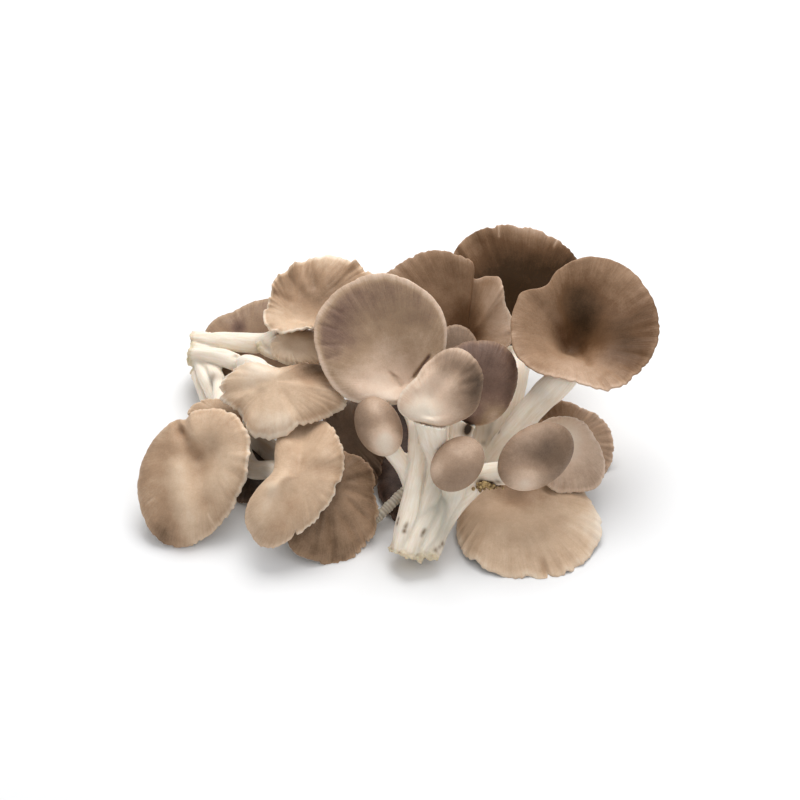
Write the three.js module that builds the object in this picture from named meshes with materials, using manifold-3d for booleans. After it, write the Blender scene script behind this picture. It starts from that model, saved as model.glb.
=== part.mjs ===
// Oyster mushroom cluster: three cut clumps heaped together, lying on a flat surface.
// Millimetres and degrees, +Z up. The front of the heap faces -Y and the origin is on the
// surface, under the middle of the heap.
import * as THREE from 'three';
import { mergeVertices } from 'three/addons/utils/BufferGeometryUtils.js';
import Module from 'manifold-3d';

const wasm = await Module();
wasm.setup();

// ---- driving dimensions
const CLEARANCE = 0.45; // gap between a cap and the stem that carries it
const RIM_CLEARANCE = 1.3; // room kept round a cap's rim, whose facets are coarser when cutting
const GILL_DEPTH = 1.5; // height of the gills on a cap's underside
const GILL_START = 0.15; // share of the way from navel to rim where the gills begin
const GILL_RISE = 0.2; // share over which they reach their height
const GILL_FADE = 0.15; // share over which they fade out towards the rim
const RIM = 1.5; // thickness of a full-grown cap at its rim
const FLESH = 5.5; // thickness of a full-grown cap over its stem
const FLESH_TAPER = 1.6; // how fast the flesh thins towards the rim
const CLOSED_SWEEP = 80; // a cap swept further than this is a closed bud
const SQUARE_FLESH = [0.1, 0.7]; // span over which a bud's flesh turns square to its skin
const MARGIN_START = 0.7; // share of the way to the rim where the margin turns down
const FOLD_GROWTH = 1.5; // how late a fold rises on its way to the rim
const RIM_REACH = 0.99; // what lies further out than this is the rim itself
const PROBE = 0.001; // step over which the slope of the skin is measured
const NAVEL_REACH = 0.02; // nearer to the navel than this, the slope is not measured
const STEEPEST = 0.5; // least share of the flesh's direction that counts as square to the skin
const FLUTE = 0.05; // depth of the lengthwise flutes of a stem, as a share of its radius
const FLUTES = 4; // flutes round a stem
const NECK_START = 0.55; // share of the last stretch of a stem where its neck widens
const NECK_BED = 0.6; // share of the flesh that a neck reaches into
const NECK_TRIM = 6; // height over a cap up to which its clump's stems are trimmed away
const SLIVER = 0.08; // facets flatter than this are merged into their neighbours
const STEM_SIDES = 8; // facets round a stem
const STEM_STEP = 9; // length of a stem's facets
const FEWEST_STEPS = 3; // facets along the shortest stem
const MERGE = 0.001; // corners nearer to each other than this are one
const TABLE_DEPTH = 5; // how deep the cutting block under the resting surface is
const TABLE_WIDTH = 400; // width of that block
const HEAP_SHIFT = [0.97, -7.68, 0]; // puts the middle of the heap over the origin

const FULL_SECTORS = 44; // facets round a full-grown cap, two for each gill
const SMALL_SECTORS = 28; // facets round a small cap
const BUD_SECTORS = 24; // facets round a bud
const FULL_RINGS = [0.38, 0.74, 1]; // where the rings of facets lie, from navel to rim
const BOWL_RINGS = [0.16, 0.36, 0.62, 0.84, 1];
const BUD_RINGS = [0.25, 0.5, 0.75, 1];

const CREAM = 0xe6dac6;
const GREY_BROWN = 0x8d7766;
const PURPLE_BROWN = 0x80695e;
const DARK_BROWN = 0x6b5746;
const TAN = 0xa78b72;
const CAP_ROUGHNESS = 0.62;
const STEM_ROUGHNESS = 0.55;

// Where the stems of each clump were cut from the log, and the thick butt that joins them.
const BUTTS = {
  front_stems: { path: [[3, -67, 7.5], [7.5, -60, 14], [14, -51.5, 22]], radii: [9.5, 9, 6] },
  right_stems: { path: [[39, -16, 8], [42, -12, 14], [45, -8, 22]], radii: [9, 9, 5] },
  left_stems: { path: [[-103, 57, 24], [-96, 53.5, 25], [-88, 50, 27]], radii: [8, 7.5, 5] },
};

// Every mushroom. The cap: at is the middle of its rim's plane, pitch how steeply its face
// looks up, yaw its turn to the right, roll its turn in its own plane. half is the rim's half
// width and half height, navel the place over the stem. dome lifts the middle, sweep bends
// the surface over towards the rim, dip sinks the navel [depth, reach] and margin turns the
// rim down. lobes [count, share, phase], notches [angle, width, share], waves [count, height,
// phase] and folds [angle, width, height] break the circle up, and bend saddles it. The stem:
// points [x, y, z, radius] from the cut end to the neck, and the neck's radius at the cap.
const MUSHROOMS = [
  // front clump
  {
    name: 'front_cap_large', clump: 'front_stems', color: PURPLE_BROWN,
    at: [-8.5, 9, 73], pitch: 44, yaw: -4, roll: 3, half: [31, 31.5], navel: [12, -20],
    dome: -4, sweep: 40, dip: [5, 0.28], margin: 2.5,
    waves: [[2, 1.6, 70], [3, 0.8, 200]],
    lobes: [[1, 0.023, 178], [2, 0.013, 308], [3, 0.006, 123], [4, 0.009, 185], [5, 0.018, 98]],
    stem: [[0, -66.5, 8, 6], [4, -54.5, 22, 5], [7.5, -37.5, 37, 4.5], [8.5, -28, 50, 5]],
    neck: 8,
  },
  {
    name: 'front_cap_tongue', clump: 'front_stems', color: GREY_BROWN,
    at: [20, -28, 74.5], pitch: 38, yaw: 6, roll: -4, half: [19, 17.5], navel: [-6.5, -11.5],
    dome: 3, sweep: 50, dip: [2, 0.3], margin: 2, bend: [-2, 0, 3],
    waves: [[2, 1, 20], [3, 0.8, 100]],
    lobes: [[2, 0.115, 90], [3, 0.07, 229], [4, 0.015, 165], [5, 0.024, 322], [6, 0.028, 138]],
    notches: [[147, 22, 0.14]],
    stem: [[5, -67, 8, 6], [12, -51.5, 22, 5.5], [17.5, -38.5, 38, 5.5]], neck: 8,
  },
  {
    name: 'front_cap_side', clump: 'front_stems', color: PURPLE_BROWN,
    at: [37.5, -5.5, 60], pitch: 40, yaw: 14, roll: -9, half: [18.5, 20.5], navel: [-7, -12],
    dome: 3.5, sweep: 50, dip: [2, 0.3], margin: 2,
    waves: [[2, 1, 0]], lobes: [[1, 0.011, 179], [2, 0.019, 95], [3, 0.038, 87], [4, 0.015, 177]],
    stem: [[9, -67, 8, 6], [17.5, -52.5, 20, 5], [25, -36.5, 33, 4.5]], neck: 7,
  },
  {
    name: 'front_cap_behind', clump: 'front_stems', color: GREY_BROWN, sectors: SMALL_SECTORS,
    at: [26.5, 18.5, 58], pitch: 42, yaw: 5, roll: -3, half: [11, 13], navel: [0, -8],
    dome: 3, sweep: 50, dip: [1, 0.3], margin: 1, flesh: 4,
    stem: [[8, -67, 8, 5], [16, -46, 22, 4], [21, -22, 31, 3.5], [24, 10, 38, 3.5]],
    neck: 4.5,
  },
  {
    name: 'front_bud_left', clump: 'front_stems', color: GREY_BROWN,
    sectors: BUD_SECTORS, rings: BUD_RINGS,
    at: [-9.4, -29, 53], pitch: 48, yaw: -24, roll: 44, half: [10.3, 14.4], navel: [0, -1],
    dome: 10.5, sweep: 98, flesh: 6, rim: 2.2,
    stem: [[-1, -65, 8, 5.5], [4, -55, 16, 4.5], [5.5, -47, 25, 4], [2.5, -38, 34, 4]],
    neck: 6,
  },
  {
    name: 'front_bud_middle', clump: 'front_stems', color: GREY_BROWN,
    sectors: BUD_SECTORS, rings: BUD_RINGS,
    at: [25.8, -46.2, 46], pitch: 52, yaw: -6, roll: -36, half: [10.9, 13.8], navel: [1, -1],
    dome: 8.5, sweep: 98, flesh: 6, rim: 2.2,
    stem: [[12, -67, 8, 5], [18.5, -55, 16, 5], [23.5, -48, 26, 5]], neck: 6.5,
  },
  {
    name: 'front_bud_right', clump: 'front_stems', color: GREY_BROWN,
    sectors: SMALL_SECTORS, rings: BUD_RINGS,
    at: [61.5, -39, 44], pitch: 52, yaw: 14, roll: 25, half: [19.6, 13.6], navel: [-8, -2],
    dome: 7.5, sweep: 92, flesh: 6, rim: 2,
    stem: [[12.5, -67, 8, 5.5], [19, -54, 15, 5.5], [27.5, -45, 24, 5.5], [38, -39.5, 32, 5.5]],
    neck: 6.5,
  },
  {
    name: 'front_cap_under', clump: 'front_stems', color: PURPLE_BROWN, sectors: SMALL_SECTORS,
    at: [3.3, 1, 9], pitch: 80, yaw: 8, roll: -10, half: [15.5, 41], navel: [-1, -18],
    dome: 3, sweep: 50, dip: [1, 0.3], margin: 1, flesh: 4.5,
    waves: [[3, 0.8, 0]], lobes: [[3, 0.04, 40], [5, 0.03, 0]],
    stem: [[7, -64, 8, 5], [5, -48, 7, 4], [2, -32, 5.5, 3.8]], neck: 5,
  },
  // right clump
  {
    name: 'right_cap_trumpet', clump: 'right_stems', color: DARK_BROWN, rings: BOWL_RINGS,
    at: [87, 13.5, 80], pitch: 64, yaw: 12, roll: -9, half: [33, 35], navel: [-5, -5],
    dome: -10, sweep: 42, dip: [14, 0.24], margin: 2.5,
    waves: [[3, 1.4, 40], [5, 1, 10], [2, 1.2, 180]],
    lobes: [[2, 0.07, 36], [3, 0.048, 191], [4, 0.009, 66], [5, 0.02, 344], [6, 0.015, 232]],
    notches: [[138, 15, 0.16], [154, 6, -0.05]],
    stem: [[41, -15.5, 10, 8], [50.5, -13.5, 30, 6.5], [65, -7.5, 50, 6.5], [75.5, -4, 62, 7]],
    neck: 10,
  },
  {
    name: 'right_cap_back', clump: 'right_stems', color: DARK_BROWN,
    at: [57.5, 64.5, 62], pitch: 50, yaw: 4, roll: -3, half: [31.5, 32], navel: [2, -19],
    dome: -9, sweep: 45, dip: [4, 0.3], margin: 1.5,
    waves: [[2, 1, 0], [3, 0.8, 0]],
    lobes: [[1, 0.03, 203], [2, 0.042, 318], [3, 0.031, 74], [4, 0.009, 214], [5, 0.01, 75]],
    stem: [[39, -13, 10, 7], [47.5, -3.5, 27, 6.5], [54, 14, 40, 6.5]], neck: 9,
  },
  {
    name: 'right_cap_lobed', clump: 'right_stems', color: DARK_BROWN, rings: BUD_RINGS,
    at: [20.5, 42, 64], pitch: 46, yaw: -4, roll: 3, half: [33.5, 28.5], navel: [11, -14.5],
    dome: -7, sweep: 45, dip: [5, 0.32], margin: 2,
    waves: [[2, 1.2, 120]],
    lobes: [
      [1, 0.013, 232], [2, 0.044, 269], [3, 0.021, 275],
      [4, 0.026, 216], [5, 0.019, 199], [6, 0.028, 206],
    ],
    notches: [[50, 8, 0.26]],
    folds: [[49, 11, -7], [20, 14, 3]],
    stem: [[37, -11.5, 10, 6], [40.5, -2, 26, 6], [38, 10.5, 40, 6]], neck: 9,
  },
  {
    name: 'right_cap_low', clump: 'right_stems', color: GREY_BROWN,
    at: [80, -17, 24.3], pitch: 58, yaw: 24, roll: -17, half: [17.5, 20], navel: [-6, 7],
    dome: 5, sweep: 60, dip: [2, 0.3], margin: 1.5,
    waves: [[5, 0.6, 0]],
    lobes: [[1, 0.008, 194], [2, 0.043, 278], [3, 0.034, 302], [4, 0.042, 201]],
    stem: [[43.5, -17, 10, 6], [57, -13.5, 12, 5.5], [69.5, -12, 13, 5.5]], neck: 7,
  },
  {
    name: 'right_cap_outer', clump: 'right_stems', color: DARK_BROWN,
    at: [84, 3, 13], pitch: 50, yaw: 20, roll: -13, half: [20, 20.5], navel: [-4.5, 1.5],
    dome: -4, sweep: 45, dip: [3, 0.3], margin: 1,
    waves: [[3, 0.8, 0]],
    lobes: [[1, 0.014, 200], [2, 0.058, 276], [3, 0.046, 349], [4, 0.047, 157]],
    stem: [[43, -13, 10, 6], [57.5, -4.5, 12, 5], [72, -0.5, 10, 5]], neck: 6,
  },
  {
    name: 'right_cap_floor', clump: 'right_stems', color: TAN,
    at: [59.5, -46.3, 8], pitch: 80, yaw: 4, roll: -3, half: [36, 29.5], navel: [-10, 19],
    dome: 3.5, sweep: 45, dip: [3, 0.3], margin: 2,
    waves: [[3, 1, 0], [5, 0.8, 60]],
    lobes: [[2, 0.052, 137], [4, 0.03, 207], [5, 0.019, 320], [6, 0.014, 352]],
    notches: [[-125, 35, 0.06]],
    stem: [[41.5, -18.5, 9, 6], [45.5, -19.5, 7, 5.5]], neck: 6,
  },
  // left clump
  {
    name: 'left_cap_pleated', clump: 'left_stems', color: TAN,
    at: [-36.5, 50.5, 67], pitch: 72, yaw: -8, roll: 6, half: [28.5, 23], navel: [-13, -9.5],
    dome: -6, sweep: 45, dip: [3, 0.3], margin: 2,
    waves: [[3, 1.5, 60], [5, 1, 0]],
    lobes: [[2, 0.046, 86], [3, 0.071, 273], [4, 0.041, 122], [5, 0.05, 38], [6, 0.03, 272]],
    notches: [[-5, 26, 0.2]],
    stem: [
      [-103.5, 63, 27, 4.3], [-91.5, 59, 30, 4.5], [-77.5, 52.5, 34, 4.9],
      [-65, 46.5, 39, 5.3], [-58, 43, 46, 6],
    ],
    neck: 8,
  },
  {
    name: 'left_cap_dark', clump: 'left_stems', color: PURPLE_BROWN,
    at: [-73, 60.5, 20], pitch: 44, yaw: 6, roll: 16, half: [27.5, 28], navel: [-3, -3],
    dome: 5, sweep: 55, dip: [1, 0.3], margin: 1.5,
    waves: [[3, 0.8, 0]],
    lobes: [[1, 0.025, 2], [2, 0.031, 82], [3, 0.017, 113], [4, 0.049, 128]],
    notches: [[100, 24, 0.1]],
    stem: [[-102, 56, 20, 5], [-101, 66, 16, 4.5], [-89, 75, 10, 4.5]], neck: 6.5,
  },
  {
    name: 'left_cap_lip', clump: 'left_stems', color: TAN,
    at: [-46.5, 34.5, 46], pitch: 62, yaw: 8, roll: -14, half: [16, 11], navel: [-7, 1],
    dome: 2, sweep: 45, dip: [1, 0.3], margin: 1.5, flesh: 4.5,
    waves: [[3, 1.2, 30]], lobes: [[3, 0.05, 200], [5, 0.04, 60]],
    stem: [[-66, 45.5, 38, 5], [-59.5, 40, 39, 4.5]], neck: 5.5,
  },
  {
    name: 'left_cap_fan', clump: 'left_stems', color: TAN,
    at: [-54.5, -5.4, 51.6], pitch: 62, yaw: 2, roll: -1, half: [29, 18.5], navel: [-3.5, 5.5],
    dome: 4, sweep: 50, dip: [1.5, 0.3], margin: 3,
    waves: [[3, 1.5, 90], [5, 1, 0], [9, 0.6, 0]],
    lobes: [[2, 0.015, 82], [3, 0.108, 69], [4, 0.063, 271], [5, 0.053, 241], [6, 0.035, 348]],
    notches: [[-73, 8, 0.08]],
    folds: [[30, 30, -5]],
    stem: [
      [-103.5, 55, 25.5, 4.3], [-91.5, 49.5, 28, 4.2], [-77.5, 37, 33, 4.4], [-67.5, 25.5, 39, 5.2],
    ],
    neck: 7.5,
  },
  {
    name: 'left_cap_corner', clump: 'left_stems', color: TAN,
    at: [-96, -34, 27], pitch: 46, yaw: -14, roll: -5, half: [25.5, 33.5], navel: [4, 12],
    dome: 5, sweep: 60, dip: [6, 0.26], margin: 2,
    waves: [[2, 1.5, 60], [3, 1.2, 0]],
    lobes: [[2, 0.066, 91], [3, 0.035, 132], [4, 0.007, 324], [5, 0.007, 251]],
    notches: [[121, 7, 0.07]],
    stem: [
      [-102, 51.5, 14.5, 3.4], [-96, 43.5, 13, 3.3], [-90, 32.5, 14, 3.6],
      [-87, 14, 17, 4.5], [-90, -4, 20, 5.5],
    ],
    neck: 8,
  },
  {
    name: 'left_cap_tucked', clump: 'left_stems', color: TAN, sectors: SMALL_SECTORS,
    at: [-83.5, -3.5, 36], pitch: 60, yaw: -10, roll: 7, half: [14, 11], navel: [0, 0],
    dome: 3, sweep: 50, dip: [1, 0.3], flesh: 4.5,
    lobes: [[1, 0.097, 214], [2, 0.112, 331], [3, 0.048, 99], [4, 0.037, 344]],
    stem: [[-102.5, 52.5, 20, 4], [-94, 46, 22, 4], [-88, 32, 26, 4], [-85.5, 14, 31, 4]], neck: 5,
  },
  {
    name: 'left_cap_saddle', clump: 'left_stems', color: TAN,
    at: [-47, -46, 36], pitch: 46, yaw: 10, roll: -35, half: [18.5, 33.5], navel: [0, 1.5],
    dome: 4, sweep: 55, dip: [3, 0.3], margin: 2.5, bend: [0, 0, -5],
    waves: [[2, 2, 20], [3, 1, 0]],
    lobes: [[2, 0.021, 268], [3, 0.075, 61], [4, 0.039, 230], [5, 0.042, 40], [6, 0.028, 210]],
    notches: [[172, 26, 0.3]],
    folds: [[125, 45, -26.5]],
    stem: [
      [-101, 53.5, 21, 4], [-90, 30, 20, 4.5], [-76, -9, 21, 5],
      [-69, -22.5, 20.5, 4.8], [-61, -26, 23, 5],
    ],
    neck: 7.5,
  },
  {
    name: 'left_cap_low', clump: 'left_stems', color: TAN,
    at: [-31, -45, 18], pitch: 50, yaw: 24, roll: -26, half: [23, 28.5], navel: [-3.5, 10],
    dome: 4, sweep: 50, dip: [2, 0.3], margin: 2,
    waves: [[3, 1, 0], [7, 0.8, 0]],
    lobes: [[2, 0.01, 89], [3, 0.011, 250], [4, 0.021, 191], [6, 0.029, 280]],
    stem: [[-100.5, 52, 20, 4.5], [-72.5, 10.5, 14, 4.5], [-47.5, -15, 12, 5]], neck: 7,
  },
  {
    name: 'left_cap_shaded', clump: 'left_stems', color: GREY_BROWN,
    at: [-22, -9.5, 21.5], pitch: 48, yaw: 40, roll: -26, half: [17, 24], navel: [-5, 6],
    dome: 3, sweep: 50, dip: [1, 0.3], margin: 1,
    waves: [[5, 0.6, 0]], lobes: [[7, 0.02, 0]],
    stem: [[-99.5, 52, 20, 4.5], [-68, 19, 15, 4.5], [-38.5, 3.5, 13, 5]], neck: 6.5,
  },
  {
    name: 'left_cap_under', clump: 'left_stems', color: GREY_BROWN, sectors: SMALL_SECTORS,
    at: [-66, -9, 5], pitch: 84, yaw: -10, roll: 0, half: [17, 20], navel: [-4, 8],
    dome: 2, sweep: 50, dip: [1, 0.3], margin: 1, flesh: 4,
    waves: [[3, 0.6, 0]], lobes: [[3, 0.04, 0], [5, 0.03, 90]],
    stem: [[-101, 50, 19, 4], [-90, 26, 9, 4], [-76, 8, 5, 3.5]], neck: 4.5,
  },
];

// ---- the shape of a cap
const { degToRad, clamp, lerp, smoothstep } = THREE.MathUtils;
const AXIS = new THREE.Vector3(0, 0, 1);

// A bump of height 1 at the angle `at`, fading over `width` to either side.
function bump(angle, at, width) {
  const away = THREE.MathUtils.euclideanModulo(angle - degToRad(at) + Math.PI, 2 * Math.PI);
  return Math.exp(-(((away - Math.PI) / degToRad(width)) ** 2));
}

// Share by which the rim stands in or out of its ellipse.
function rimShare(cap, angle) {
  let share = 1;
  for (const [count, size, phase] of cap.lobes ?? []) {
    share += size * Math.cos(count * angle - degToRad(phase));
  }
  for (const [at, width, size] of cap.notches ?? []) share -= size * bump(angle, at, width);
  return share;
}

// A point of the top skin in the cap's own frame: reach is 0 at the navel and 1 at the rim.
function skinPoint(cap, reach, angle) {
  const [a, b] = cap.half;
  const [navelX, navelY] = cap.navel;
  const sweep = degToRad(cap.sweep);
  const share = rimShare(cap, angle);
  const out = Math.sin(sweep * reach) / Math.sin(Math.min(sweep, Math.PI / 2));
  const x = navelX + (a * Math.cos(angle) * share - navelX) * out;
  const y = navelY + (b * Math.sin(angle) * share - navelY) * out;
  const [dip, dipReach] = cap.dip ?? [0, 1];
  const [saddleX, saddleY, twist] = cap.bend ?? [0, 0, 0];
  const arch = (Math.cos(sweep * reach) - Math.cos(sweep)) / (1 - Math.cos(sweep));
  let z = cap.dome * arch - dip * Math.exp(-((reach / dipReach) ** 2));
  z -= (cap.margin ?? 0) * clamp((reach - MARGIN_START) / (1 - MARGIN_START), 0, 1) ** 2;
  z += saddleX * (x / a) ** 2 + saddleY * (y / b) ** 2 + (twist * x * y) / (a * b);
  for (const [count, height, phase] of cap.waves ?? []) {
    z += height * reach ** 2 * Math.cos(count * angle - degToRad(phase));
  }
  for (const [at, width, height] of cap.folds ?? []) {
    z += height * Math.sin((reach * Math.PI) / 2) ** FOLD_GROWTH * bump(angle, at, width);
  }
  return new THREE.Vector3(x, y, z);
}

// The directions along the top skin towards the rim, and out of it.
function skinDirections(cap, reach, angle) {
  const place = clamp(reach, NAVEL_REACH, 1 - PROBE);
  const along = skinPoint(cap, place + PROBE, angle).sub(skinPoint(cap, place - PROBE, angle));
  const round = skinPoint(cap, place, angle + PROBE).sub(skinPoint(cap, place, angle - PROBE));
  const normal = along.clone().cross(round).normalize();
  return { along: along.normalize(), normal };
}

// The direction in which the flesh is measured: the cap's own axis, or on a closed bud square
// to the skin towards the rim.
function fleshDirection(cap, reach, normal) {
  const square = cap.sweep > CLOSED_SWEEP ? smoothstep(reach, ...SQUARE_FLESH) : 0;
  return AXIS.clone().lerp(normal, square).normalize();
}

// Thickness of the cap, from its skin to the underside of the flesh or, by the share `gill`,
// to the edge of a gill.
function depthBelow(cap, reach, gill) {
  const rim = cap.rim ?? RIM;
  const flesh = rim + ((cap.flesh ?? FLESH) - rim) * (1 - reach) ** FLESH_TAPER;
  const rise = clamp((reach - GILL_START) / GILL_RISE, 0, 1);
  const fade = clamp((1 - reach) / GILL_FADE, 0, 1);
  return flesh + GILL_DEPTH * gill * rise * fade;
}

// Splits the four-sided facets of the underside along the same diagonals as the top skin, so
// that the two faces of a waved rim stay parallel.
function matchDiagonals(lathe, rows) {
  const index = lathe.getIndex();
  for (let i = 0; i < index.count; i += 6) {
    const row = (i / 6) % (rows - 1);
    if (row >= (rows - 1) / 2) continue;
    const [a, b, d, c] = [0, 1, 2, 3].map((k) => index.getX(i + k));
    [a, b, c, a, c, d].forEach((corner, k) => index.setX(i + k, corner));
  }
}

// A turned shape pushed into the cap's form. Every face stands out by grow, and the top skin by
// headroom more. gillAt gives the share of a gill's height at an angle.
function formedGeometry(cap, sectors, gillAt, grow = 0, headroom = 0) {
  const reaches = cap.rings ?? FULL_RINGS;
  const under = [0, ...reaches].map((reach) => new THREE.Vector2(reach, -1));
  const top = [0, ...reaches].map((reach) => new THREE.Vector2(reach, 1)).reverse();
  const geometry = new THREE.LatheGeometry([...under, ...top], sectors);
  matchDiagonals(geometry, under.length + top.length);
  const position = geometry.getAttribute('position');
  const turned = new THREE.Vector3();
  for (let i = 0; i < position.count; i += 1) {
    turned.fromBufferAttribute(position, i);
    const reach = Math.min(Math.hypot(turned.x, turned.z), 1);
    const angle = reach > 0 ? Math.atan2(turned.x, turned.z) : 0;
    const { along, normal } = skinDirections(cap, reach, angle);
    const direction = fleshDirection(cap, reach, normal);
    const margin = grow / Math.max(direction.dot(normal), STEEPEST);
    const isTop = turned.y > 0;
    const drop = isTop ? -margin - headroom : depthBelow(cap, reach, gillAt(angle)) + margin;
    const point = skinPoint(cap, reach, angle).addScaledVector(direction, -drop);
    if (reach > RIM_REACH && grow > 0) point.addScaledVector(along, RIM_CLEARANCE);
    position.setXYZ(i, point.x, point.y, point.z);
  }
  return geometry.applyMatrix4(placement(cap));
}

// A cap with its gills as ridges on every second facet edge.
function capGeometry(cap) {
  const sectors = cap.sectors ?? FULL_SECTORS;
  return formedGeometry(cap, sectors, (angle) => 0.5 + 0.5 * Math.cos((sectors / 2) * angle));
}

// The room that a cap needs: its form with coarser facets, down to the edges of its gills.
function roomGeometry(cap, headroom) {
  return formedGeometry(cap, (cap.sectors ?? FULL_SECTORS) / 2, () => 1, CLEARANCE, headroom);
}

// The turn and place that put a cap's own frame into the heap.
function placement(cap) {
  const sideways = new THREE.Vector3(1, 0, 0);
  const turn = new THREE.Quaternion().setFromAxisAngle(AXIS, degToRad(cap.yaw));
  const lean = new THREE.Quaternion().setFromAxisAngle(sideways, degToRad(90 - cap.pitch));
  const roll = new THREE.Quaternion().setFromAxisAngle(AXIS, degToRad(cap.roll));
  return new THREE.Matrix4().compose(
    new THREE.Vector3(...cap.at), turn.multiply(lean).multiply(roll), new THREE.Vector3(1, 1, 1),
  );
}

// ---- the shape of a stem
// A turned rod bent along a curve, its radius following the radii given at the curve's points.
function rodGeometry(points, radii) {
  const curve = new THREE.CatmullRomCurve3(points);
  const steps = Math.max(FEWEST_STEPS, Math.round(curve.getLength() / STEM_STEP));
  const sides = Array.from({ length: steps + 1 }, (_, i) => new THREE.Vector2(1, i / steps));
  const profile = [new THREE.Vector2(0, 0), ...sides, new THREE.Vector2(0, 1)];
  const geometry = new THREE.LatheGeometry(profile, STEM_SIDES);
  const frames = curve.computeFrenetFrames(steps, false);
  const position = geometry.getAttribute('position');
  const turned = new THREE.Vector3();
  for (let i = 0; i < position.count; i += 1) {
    turned.fromBufferAttribute(position, i);
    const place = turned.y * (points.length - 1);
    const before = Math.min(Math.floor(place), points.length - 2);
    const radius = lerp(radii[before], radii[before + 1], place - before);
    const fluted = radius * (1 + FLUTE * Math.cos(FLUTES * Math.atan2(turned.x, turned.z)));
    const ring = Math.round(turned.y * steps);
    const point = curve.getPoint(turned.y);
    point.addScaledVector(frames.normals[ring], turned.z * fluted);
    point.addScaledVector(frames.binormals[ring], turned.x * fluted);
    position.setXYZ(i, point.x, point.y, point.z);
  }
  return geometry;
}

// A mushroom's stem: its own points, then the neck that widens into the cap at its navel.
function stemGeometry(mushroom) {
  const flesh = mushroom.flesh ?? FLESH;
  const navel = skinPoint(mushroom, 0, 0);
  const bed = navel.setZ(navel.z - flesh * NECK_BED).applyMatrix4(placement(mushroom));
  const points = mushroom.stem.map(([x, y, z]) => new THREE.Vector3(x, y, z));
  const radii = mushroom.stem.map((row) => row[3]);
  const throat = points.at(-1).clone().lerp(bed, NECK_START);
  const throatRadius = lerp(radii.at(-1), mushroom.neck, NECK_START ** 2);
  return rodGeometry([...points, throat, bed], [...radii, throatRadius, mushroom.neck]);
}

// ---- joining and cutting
function toSolid(geometry) {
  const bare = geometry.clone();
  bare.deleteAttribute('normal');
  bare.deleteAttribute('uv');
  const merged = mergeVertices(bare, MERGE);
  return new wasm.Manifold(new wasm.Mesh({
    numProp: 3,
    vertProperties: new Float32Array(merged.getAttribute('position').array),
    triVerts: new Uint32Array(merged.getIndex().array),
  }));
}

function toGeometry(solid) {
  const mesh = solid.getMesh();
  const geometry = new THREE.BufferGeometry();
  geometry.setAttribute('position', new THREE.BufferAttribute(mesh.vertProperties, 3));
  geometry.setIndex(new THREE.BufferAttribute(mesh.triVerts, 1));
  geometry.computeVertexNormals();
  return geometry;
}

function largest(solid) {
  return solid.decompose().sort((one, other) => other.volume() - one.volume())[0];
}

// The block under the resting surface: what reaches into it is cut off to a flat spot.
const underTable = toSolid(
  new THREE.BoxGeometry(TABLE_WIDTH, TABLE_WIDTH, TABLE_DEPTH).translate(0, 0, -TABLE_DEPTH / 2),
);

function capSolid(mushroom) {
  return toSolid(capGeometry(mushroom)).subtract(underTable);
}

// All the stems of a clump joined at their butt, clear of every cap of the heap.
function stemBundle(clump) {
  const { path, radii } = BUTTS[clump];
  let bundle = toSolid(rodGeometry(path.map((point) => new THREE.Vector3(...point)), radii));
  for (const mushroom of MUSHROOMS.filter((each) => each.clump === clump)) {
    bundle = bundle.add(toSolid(stemGeometry(mushroom)));
  }
  for (const mushroom of MUSHROOMS) {
    const headroom = mushroom.clump === clump ? NECK_TRIM : 0;
    bundle = bundle.subtract(toSolid(roomGeometry(mushroom, headroom)));
  }
  return largest(bundle.subtract(underTable).asOriginal().simplify(SLIVER));
}

// ---- the heap
function addPiece(name, solid, color, roughness) {
  const material = new THREE.MeshStandardMaterial({ color, roughness, metalness: 0 });
  const mesh = new THREE.Mesh(toGeometry(solid), material);
  mesh.name = name;
  heap.add(mesh);
}

const heap = new THREE.Group();
heap.name = 'oyster_mushroom_cluster';
heap.position.set(...HEAP_SHIFT);
for (const mushroom of MUSHROOMS) {
  addPiece(mushroom.name, capSolid(mushroom), mushroom.color, CAP_ROUGHNESS);
}
for (const clump of Object.keys(BUTTS)) {
  addPiece(clump, stemBundle(clump), CREAM, STEM_ROUGHNESS);
}

export default heap;
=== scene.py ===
"""Oyster mushroom cluster: caps with gills, grown-together stems, and the stage.

Lengths in the tables are millimetres and angles degrees. The front of the heap faces -Y.
"""
from math import cos, pi, radians, sin

import bmesh
import bpy
import numpy as np
from mathutils import Euler, Matrix, Vector


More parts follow.
